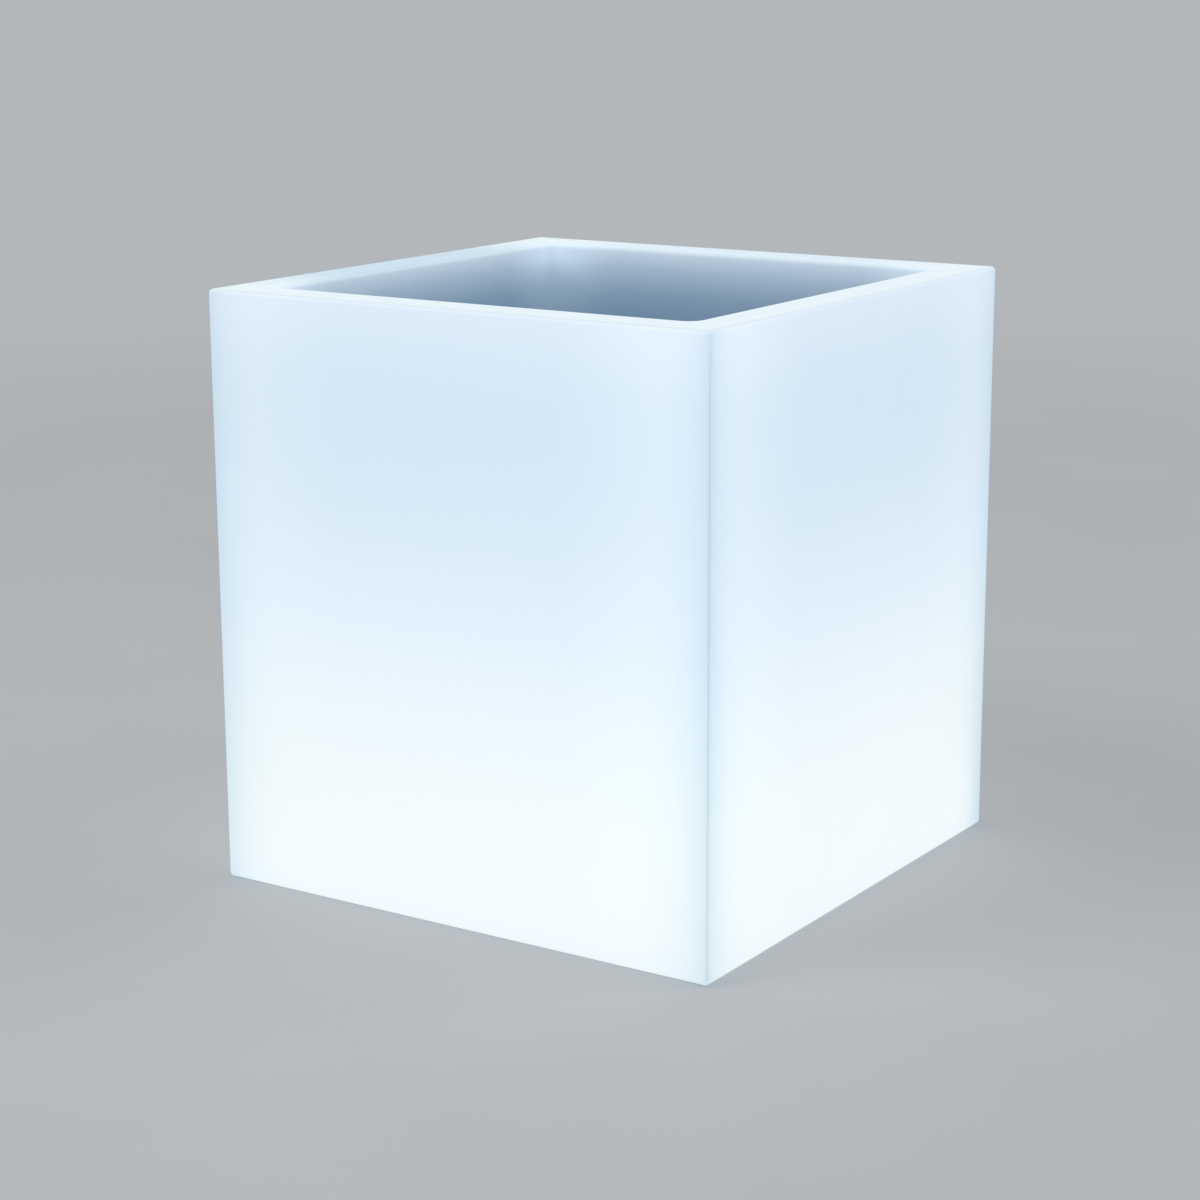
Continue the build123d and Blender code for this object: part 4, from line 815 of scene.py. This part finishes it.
def control_parts():
    """The board's parts, each in the material of its kind, told apart by height."""
    s = Surface("control_parts", (0.014, 0.014, 0.015), (0.024, 0.024, 0.025), 0.5, cloud=500, grain=5000)
    kinds = {}
    for low, high in solids("control_chips"):
        kinds.setdefault(round((high[2] - low[2]) / MM, 1), []).append((low, high))
    chips, coil, sockets, capacitor = (kinds[height] for height in sorted(kinds))

    def on(boxes):
        gap = s.least([s.from_box(low, high) for low, high in boxes])
        return s.within(gap, 0.05, 0.15)

    for low, high in chips:
        corner = s.distance(s.less(s.x, low[0] + 1.1 * MM), s.less(s.y, high[1] - 1.1 * MM))
        s.relief(s.beyond(corner, 0.3, 0.4), 0.2)
    s.paint(on(sockets), (0.60, 0.58, 0.49), 0.45)
    low, high = coil[0]
    height = s.fade(s.z, low[2], high[2], smooth=False)
    winding = s.both(on(coil), s.fade(height, 0.25, 0.3), s.under(height, 0.75, 0.8))
    s.paint(on(coil), (0.055, 0.055, 0.058), 0.6)
    s.relief(s.both(s.waves(s.z, 0.3), winding), 0.1)
    s.paint(winding, (0.62, 0.24, 0.10), 0.3, 1.0)
    low, high = capacitor[0]
    can_top = s.both(on(capacitor), s.fade(s.z, high[2] - 0.25 * MM, high[2] - 0.15 * MM))
    s.paint(can_top, (0.66, 0.67, 0.68), 0.3, 1.0)
    mark = s.both(on(capacitor), s.under(s.x, low[0] + 1.1 * MM, low[0] + 1.2 * MM))
    s.paint(mark, (0.55, 0.56, 0.57), 0.4)
    x, y = halfway(low, high)[:2]
    vent = s.least([s.from_point(s.x, x), s.from_point(s.y, y)])
    s.relief(s.both(can_top, s.beyond(vent, 0.08, 0.16)), 0.15)
    s.wear_and_edge_sheen(0.2, (0.10, 0.10, 0.10), 0.5)
    return s.finish()


# Cells and wires
def cell_sleeve():
    """Shrunk blue film, creased towards its ends, a white ring on each end and the bare can in it."""
    s = Surface("cell_sleeve", (0.020, 0.085, 0.22), (0.030, 0.115, 0.28), 0.28, cloud=60, grain=2500)
    low, high = solids("battery_cells")[0]
    y, z = halfway(low, high)[1:]
    cells = middle("battery_cells")
    reach = high[0] - cells.x
    from_cell = s.from_point(s.from_point(s.y, cells.y), cells.y - y)
    radius = s.distance(from_cell, s.less(s.z, z))
    from_middle = s.absolute(s.x)
    creases = s.noise(900, detail=2, stretch=(0.15, 1, 1))
    s.relief(s.both(creases, s.fade(from_middle, reach - 6 * MM, reach)), 0.25)
    s.relief(s.noise(140, detail=2), 0.15)
    end = s.fade(from_middle, reach - 0.4 * MM, reach - 0.2 * MM)
    s.paint(s.both(end, s.within(radius, 7.4, 7.5)), (0.72, 0.72, 0.70), 0.6)
    can = s.both(end, s.within(radius, 5.2, 5.3))
    s.paint(can, (0.60, 0.60, 0.59), 0.3, 1.0)
    s.wear_and_edge_sheen(0.4, (0.07, 0.17, 0.36), 0.4)
    return s.finish()


def insulation(name, is_second, first, second):
    """The jackets of two wires, faintly waxy, with an even press of the strands inside."""
    dark = tuple(c * 0.85 for c in first)
    s = Surface(name, dark, first, 0.38, cloud=200, grain=3000)
    s.paint(is_second(s), second, 0.38)
    s.relief(s.noise(1100, detail=1), 0.06)
    s.paint(s.fade(s.noise(350, detail=5), 0.60, 0.75, 0.0, 0.35), (0.25, 0.24, 0.23), 0.6)
    return s.finish()


def right_of(points):
    """Tells the right-hand wire of a pair by the line half way between the two, as (y, x) in mm."""

    def mask(s):
        line = s.follow(s.y, points)
        return s.beyond(s.less(s.x, line), -0.1, 0.1)

    return mask


def front_cell_wire(s):
    """Tells the front cell's wire: it lies above the line of (y, z), and left of the other at the plug."""
    line = s.follow(s.y, CELL_LINE)
    above = s.beyond(s.less(s.z, line), -0.1, 0.1)
    left = s.within(s.x, 24.5, 24.7)
    return s.either(above, left)


RED = (0.34, 0.016, 0.012)
BLACK = (0.016, 0.016, 0.017)
WHITE = (0.62, 0.62, 0.60)
PALE_GREY = (0.36, 0.37, 0.38)
# Half way between the wires of a pair, in millimetres
JACK_LINE = ((-36, -24), (-11, -23), (15, -25), (39.5, -24))
SWITCH_LINE = ((-36, 24), (-11, 22), (15, 14), (39.5, 8))
LED_LINE = ((27.5, -7), (39.5, -8))
CELL_LINE = (
    (3, 0), (8, 24), (12, 25.5), (16, 29), (20, 32.1), (24, 35.05), (28, 38.45), (32, 40.5), (38, 41)
)


def plug_nylon():
    """Natural nylon crimp housings with slots for the contacts' barbs, painted dark inside as shade."""
    s = Surface("plug_nylon", (0.60, 0.58, 0.49), (0.68, 0.66, 0.57), 0.42, cloud=200, grain=3000)
    shaded_slots = None
    for x, y in centres("lead_plugs"):
        slot = s.both(
            s.near(s.from_point(s.x, x), 2 * MM, 0.55, 0.65),
            s.near(s.z, middle("lead_plugs").z, 0.9, 1.0),
        )
        shaded_slots = slot if shaded_slots is None else s.either(shaded_slots, slot)
    shaded_slots = s.both(shaded_slots, s.opposite(s.faces_up()))
    s.relief(s.opposite(shaded_slots), 0.4)
    # Painted shade: the inside of the slots is darkened.
    s.paint(shaded_slots, (0.16, 0.15, 0.12), 0.6)
    s.wear_and_edge_sheen(0.3, (0.76, 0.74, 0.66), 0.5)
    return s.finish()


# Screws, by the radius of the shank and the pitch of the thread in millimetres
M5 = (2.5, 0.8)
M25 = (1.25, 0.45)
NICKEL = ((0.50, 0.49, 0.45), (0.66, 0.64, 0.60))

materials = {
    "planter_body": moulding_material(),
    "body_inserts": knurled_brass(),
    "rubber_feet": foot_rubber(),
    "drain_plug": bung_rubber(),
    "unit_housing": housing_plastic(),
    "flange_gasket": gasket_foam(),
    "lens_cover": dome_plastic(),
    "led_board": led_board(),
    "led_chips": led_packages(),
    "control_board": circuit_board(),
    "control_chips": control_parts(),
    "battery_cells": cell_sleeve(),
    "battery_links": welded_nickel(),
    "battery_clamp": clamp_plastic(),
    "charge_jack": barrel_plastic("charge_jack", 5.5 * MM, 1.0 * MM),
    "switch_body": barrel_plastic("switch_body", 8.0 * MM),
    "power_button": button_plastic(),
    "button_spring": spring_steel(),
    "status_window": clear_plastic(),
    "jack_leads": insulation("jack_wires", right_of(JACK_LINE), BLACK, RED),
    "switch_leads": insulation("switch_wires", right_of(SWITCH_LINE), WHITE, PALE_GREY),
    "led_leads": insulation("led_wires", right_of(LED_LINE), BLACK, RED),
    "battery_leads": insulation("battery_wires", front_cell_wire, RED, BLACK),
    "lead_plugs": plug_nylon(),
}
for name in ("jack_cap", "cap_anchor"):
    materials[name] = flap_rubber(name)
for name in ("lens_seal", "jack_seal", "switch_seal"):
    materials[name] = seal_rubber(name)
for name in ("jack_nut", "switch_nut"):
    materials[name] = turned_metal(name, *NICKEL)
for name in ("foot_washers", "flange_washers"):
    materials[name] = steel(name)
for name in ("foot_screws", "flange_screws"):
    materials[name] = steel(name, *M5)
for name in ("lens_screws", "board_screws", "control_screws", "clamp_screws"):
    materials[name] = steel(name, *M25)

for name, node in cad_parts.items():
    for slot in node.material_slots:
        slot.material = materials[name]


def add_object(name, data):
    """A new object in the scene."""
    new = bpy.data.objects.new(name, data)
    bpy.context.scene.collection.objects.link(new)
    return new


# Small pieces of the light unit that the frame leaves out
def add_piece(name, bm, material):
    """A closed mesh, smooth but for its sharp edges, that moves with the planter."""
    bmesh.ops.recalc_face_normals(bm, faces=bm.faces)
    for edge in bm.edges:
        edge.smooth = edge.calc_face_angle(0.0) < math.radians(40)
    for face in bm.faces:
        face.smooth = True
    mesh = bpy.data.meshes.new(name)
    bm.to_mesh(mesh)
    bm.free()
    mesh.materials.append(material)
    piece = add_object(name, mesh)
    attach(piece, "planter")


def lathe(bm, place, profile, toward=Vector((0, 0, 1)), sides=20):
    """A closed form turned about a line, from (radius, height) in mm; a radius of 0 closes it."""
    spin = toward.to_track_quat("Z", "Y")
    angles = [math.tau * i / sides for i in range(sides)]
    rings = []
    for radius, height in profile:
        turns = angles if radius else angles[:1]
        reach = radius * MM
        ring = [(reach * math.cos(a), reach * math.sin(a), height * MM) for a in turns]
        rings.append([bm.verts.new(Vector(place) + spin @ Vector(point)) for point in ring])
    for lower, upper in zip(rings, rings[1:]):
        for i in range(sides):
            j = (i + 1) % sides
            corners = [lower[i % len(lower)], lower[j % len(lower)]]
            corners += [upper[j % len(upper)], upper[i % len(upper)]]
            bm.faces.new(list(dict.fromkeys(corners)))


def block(bm, low, high, edge):
    """A rounded block between two corners."""
    size = Vector(high) - Vector(low)
    place = Matrix.Translation((Vector(high) + Vector(low)) / 2) @ Matrix.Diagonal((*size, 1))
    verts = bmesh.ops.create_cube(bm, size=1.0, matrix=place)["verts"]
    edges = {e for v in verts for e in v.link_edges}
    bmesh.ops.bevel(bm, geom=list(edges), offset=edge, segments=2, affect="EDGES", profile=0.5)


def strip(bm, route, width, thickness, across):
    """A bent metal strip: its middle line, and the direction of its width."""
    across = Vector(across) * width / 2
    sections = []
    for i, point in enumerate(route):
        ahead = Vector(route[min(i + 1, len(route) - 1)]) - Vector(route[max(i - 1, 0)])
        up = ahead.cross(across).normalized() * thickness / 2
        sections.append(
            [
                bm.verts.new(Vector(point) + side * across + level * up)
                for side, level in ((-1, -1), (1, -1), (1, 1), (-1, 1))
            ]
        )
    for start, end in zip(sections, sections[1:]):
        for i in range(4):
            j = (i + 1) % 4
            bm.faces.new((start[i], start[j], end[j], end[i]))
    bm.faces.new(sections[0])
    bm.faces.new(sections[-1])


def add_led_lenses():
    """A low silicone lens on each LED."""
    radius = 1.9
    rise = 0.5
    sunk = 0.1
    bm = bmesh.new()
    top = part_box("led_chips")[1].z
    steps = 6
    profile = [(0.0, -sunk), (radius, -sunk), (radius, 0.0)]
    profile += [
        (radius * math.cos(math.pi / 2 * i / steps), rise * math.sin(math.pi / 2 * i / steps))
        for i in range(1, steps)
    ]
    profile.append((0.0, rise))
    for x, y in centres("led_chips"):
        lathe(bm, (x, y, top), profile)
    add_piece("led_lenses", bm, led_silicone())


def add_solder():
    """A fillet of solder round each wire's end at a tag, a link or the LED board."""
    bm = bmesh.new()
    wire = 0.7
    pitch = 4 * MM
    cone = ((0, 0), (1.7, 0), (1.5, 0.2), (1.05, 0.7), (0.82, 1.5), (wire, 1.9), (0, 1.9))
    blob = ((0, -1.5), (0.5, -1.4), (1, -0.8), (1.15, 0), (0.95, 0.8), (wire, 1.5), (0, 1.5))
    for name in ("charge_jack", "switch_body"):
        x, y = middle(name).xy
        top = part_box(name)[1].z
        for side in (-pitch / 2, pitch / 2):
            lathe(bm, (x + side, y, top), blob)
    leads_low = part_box("led_leads")[0]
    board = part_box("led_board")[0].z
    for i in (0, 1):
        place = (leads_low.x + 1.7 * MM + i * pitch, leads_low.y + wire * MM, board)
        lathe(bm, place, cone, Vector((0, 0, -1)))
    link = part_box("battery_links")[1].x
    for low, high in solids("battery_cells"):
        y, z = halfway(low, high)[1:]
        lathe(bm, (link, y, z), cone, Vector((1, 0, 0)))
    add_piece("solder_joints", bm, solder())


def solder():
    """Tin solder, bright where it froze last and dull round its foot."""
    s = Surface("solder", (0.46, 0.46, 0.45), (0.66, 0.66, 0.65), 0.26, 1.0, cloud=900, grain=5000)
    s.paint(s.fade(s.noise(1500, detail=3), 0.55, 0.7), (0.34, 0.33, 0.31), 0.5)
    return s.finish()


def chip_boxes():
    """The driver and charger chips: the lowest solids on the control board."""
    boxes = solids("control_chips")
    least = min(high[2] - low[2] for low, high in boxes)
    return [(low, high) for low, high in boxes if high[2] - low[2] < least + 0.1 * MM]


LEG = ((-0.2, 0.55), (0.25, 0.55), (0.45, 0.45), (0.6, 0.12), (0.8, 0.06), (1.3, 0.06))


def add_chip_legs():
    """Eight bent legs along two sides of each chip."""
    bm = bmesh.new()
    for low, high in chip_boxes():
        for side, edge in ((-1, low[0]), (1, high[0])):
            for i in range(8):
                y = (low[1] + high[1]) / 2 + (i - 3.5) * 0.8 * MM
                route = [(edge + side * out * MM, y, low[2] + up * MM) for out, up in LEG]
                strip(bm, route, 0.35 * MM, 0.12 * MM, (0, 1, 0))
    add_piece("chip_legs", bm, tinned_copper())


def add_small_parts():
    """Resistors and ceramic capacitors on the control board, with their tinned ends."""
    bodies = bmesh.new()
    ends = bmesh.new()
    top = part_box("control_board")[1].z
    middle_y = middle("control_board").y
    rows = (
        (middle_y - 6.5 * MM, (-20.0, -16.5, -13.0, -9.5, 9.5, 13.0, 16.5, 20.0), 0.5),
        (middle_y + 6.5 * MM, (-20.5, 6.8, 18.0, 21.5), 0.9),
    )
    half_length = 1.0 * MM
    half_width = 0.62 * MM
    cap = 0.35 * MM
    proud = 0.03 * MM
    for y, places, tall in rows:
        high = top + tall * MM
        for x in (place * MM for place in places):
            block(
                bodies,
                (x - half_width, y - half_length + cap / 2, top),
                (x + half_width, y + half_length - cap / 2, high),
                0.06 * MM,
            )
            for side in (-1, 1):
                end = y + side * half_length
                inner = end - side * cap
                block(
                    ends,
                    (x - half_width - proud, min(end, inner), top),
                    (x + half_width + proud, max(end, inner), high + proud),
                    0.08 * MM,
                )
    s = Surface(
        "ceramic_parts", (0.13, 0.085, 0.05), (0.20, 0.13, 0.08), 0.45, cloud=300, grain=5000
    )
    low_row = s.under(s.y, middle_y - 1 * MM, middle_y + 1 * MM)
    s.paint(s.both(low_row, s.fade(s.z, top + 0.3 * MM, top + 0.4 * MM)), (0.014, 0.014, 0.015), 0.4)
    add_piece("small_parts", bodies, s.finish())
    add_piece("small_part_ends", ends, tinned_copper())


def tinned_copper():
    """Tinned copper of legs and part ends."""
    s = Surface("tinned", (0.50, 0.50, 0.48), (0.66, 0.66, 0.64), 0.28, 1.0, cloud=1200, grain=6000)
    s.paint(s.fade(s.noise(2500, detail=2), 0.55, 0.7), (0.40, 0.38, 0.33), 0.45)
    return s.finish()


add_led_lenses()
add_solder()
add_chip_legs()
add_small_parts()


# Stage
FLOOR_COLOUR = (0.565, 0.58, 0.595, 1.0)
FAR_COLOUR = (0.455, 0.475, 0.495, 1.0)
FLOOR_RADIUS = 30.0
FLOOR_SIDES = 64
NEAR_FLOOR = 0.9  # where the floor starts to turn into the backdrop, and where it has
FAR_FLOOR = 3.2
WORLD_COLOUR = (0.97, 0.985, 1.0, 1.0)
WORLD_LEVEL = 0.62
LAMP_SIZE = 2.4


def floor_material():
    """Pale matt floor that turns into the plain backdrop far away."""
    g = Graph("floor")
    x, y = g.split(g.place)[:2]
    distance = g.math("SQRT", g.math("ADD", g.both(x, x), g.both(y, y)))
    clouds = g.noise(3, detail=4)
    darker = tuple(c * 0.97 for c in FLOOR_COLOUR[:3]) + (1.0,)
    colour = g.mix(g.fade(clouds, 0.3, 0.7), FLOOR_COLOUR, darker)
    g.set(Base_Color=colour, Roughness=0.85, Specular_IOR_Level=0.2)
    backdrop = g.node("Emission", "Emission", {"Color": FAR_COLOUR})
    far = g.fade(distance, NEAR_FLOOR, FAR_FLOOR)
    join = g.node("MixShader", "Shader", {0: far, 1: g.shader.outputs[0], 2: backdrop})
    g.put(g.nodes["Material Output"].inputs["Surface"], join)
    return g.material


def build_floor():
    angles = [math.tau * i / FLOOR_SIDES for i in range(FLOOR_SIDES)]
    edge = [(FLOOR_RADIUS * math.cos(a), FLOOR_RADIUS * math.sin(a), 0.0) for a in angles]
    mesh = bpy.data.meshes.new("floor")
    mesh.from_pydata(edge, [], [list(range(FLOOR_SIDES))])
    mesh.materials.append(floor_material())
    add_object("floor", mesh)


def build_world():
    world = bpy.data.worlds.new("studio")
    world.use_nodes = True
    bpy.context.scene.world = world
    nodes = world.node_tree.nodes
    links = world.node_tree.links
    ambient = nodes["Background"]
    ambient.inputs["Color"].default_value = WORLD_COLOUR
    ambient.inputs["Strength"].default_value = WORLD_LEVEL
    backdrop = nodes.new("ShaderNodeBackground")
    backdrop.inputs["Color"].default_value = FAR_COLOUR
    join = nodes.new("ShaderNodeMixShader")
    links.new(nodes.new("ShaderNodeLightPath").outputs["Is Camera Ray"], join.inputs[0])
    links.new(ambient.outputs[0], join.inputs[1])
    links.new(backdrop.outputs[0], join.inputs[2])
    links.new(join.outputs[0], nodes["World Output"].inputs["Surface"])


def build_lamp(name, place, power):
    lamp = bpy.data.lights.new(name, "AREA")
    lamp.shape = "DISK"
    lamp.size = LAMP_SIZE
    lamp.energy = power
    lamp_object = add_object(name, lamp)
    lamp_object.location = place
    toward = Vector((0, 0, TOP / 2)) - Vector(place)
    lamp_object.rotation_euler = toward.to_track_quat("-Z", "Y").to_euler()


def build_camera():
    azimuth = math.radians(CAMERA_AZIMUTH)
    elevation = math.radians(CAMERA_ELEVATION)
    roll = math.radians(CAMERA_ROLL)
    back = Vector(
        (
            math.sin(azimuth) * math.cos(elevation),
            -math.cos(azimuth) * math.cos(elevation),
            math.sin(elevation),
        )
    )
    level = Vector((math.cos(azimuth), math.sin(azimuth), 0))
    upward = back.cross(level)
    right = level * math.cos(roll) + upward * math.sin(roll)
    up = upward * math.cos(roll) - level * math.sin(roll)
    centre = Vector((0, 0, (BASE + TOP) / 2))
    place = centre - right * AIM_RIGHT - up * AIM_UP + back * CAMERA_DISTANCE
    camera = bpy.data.cameras.new("camera")
    camera.sensor_width = SENSOR_MM
    camera.lens = SENSOR_MM * FOCAL_PIXELS / PHOTO_PIXELS
    camera.clip_end = 100.0
    camera_object = add_object("camera", camera)
    rotation = Matrix((right, up, back)).transposed().to_4x4()
    camera_object.matrix_world = Matrix.Translation(place) @ rotation
    bpy.context.scene.camera = camera_object


build_floor()
build_world()
build_lamp("key", (-1.6, -2.2, 2.6), 28.0)
build_lamp("fill", (2.4, 1.4, 2.4), 16.0)
build_camera()
bpy.context.scene.view_settings.view_transform = "Standard"


def corners(bounds):
    """Both corners of a box as plain lists of numbers."""
    return [[float(value) for value in corner] for corner in bounds]
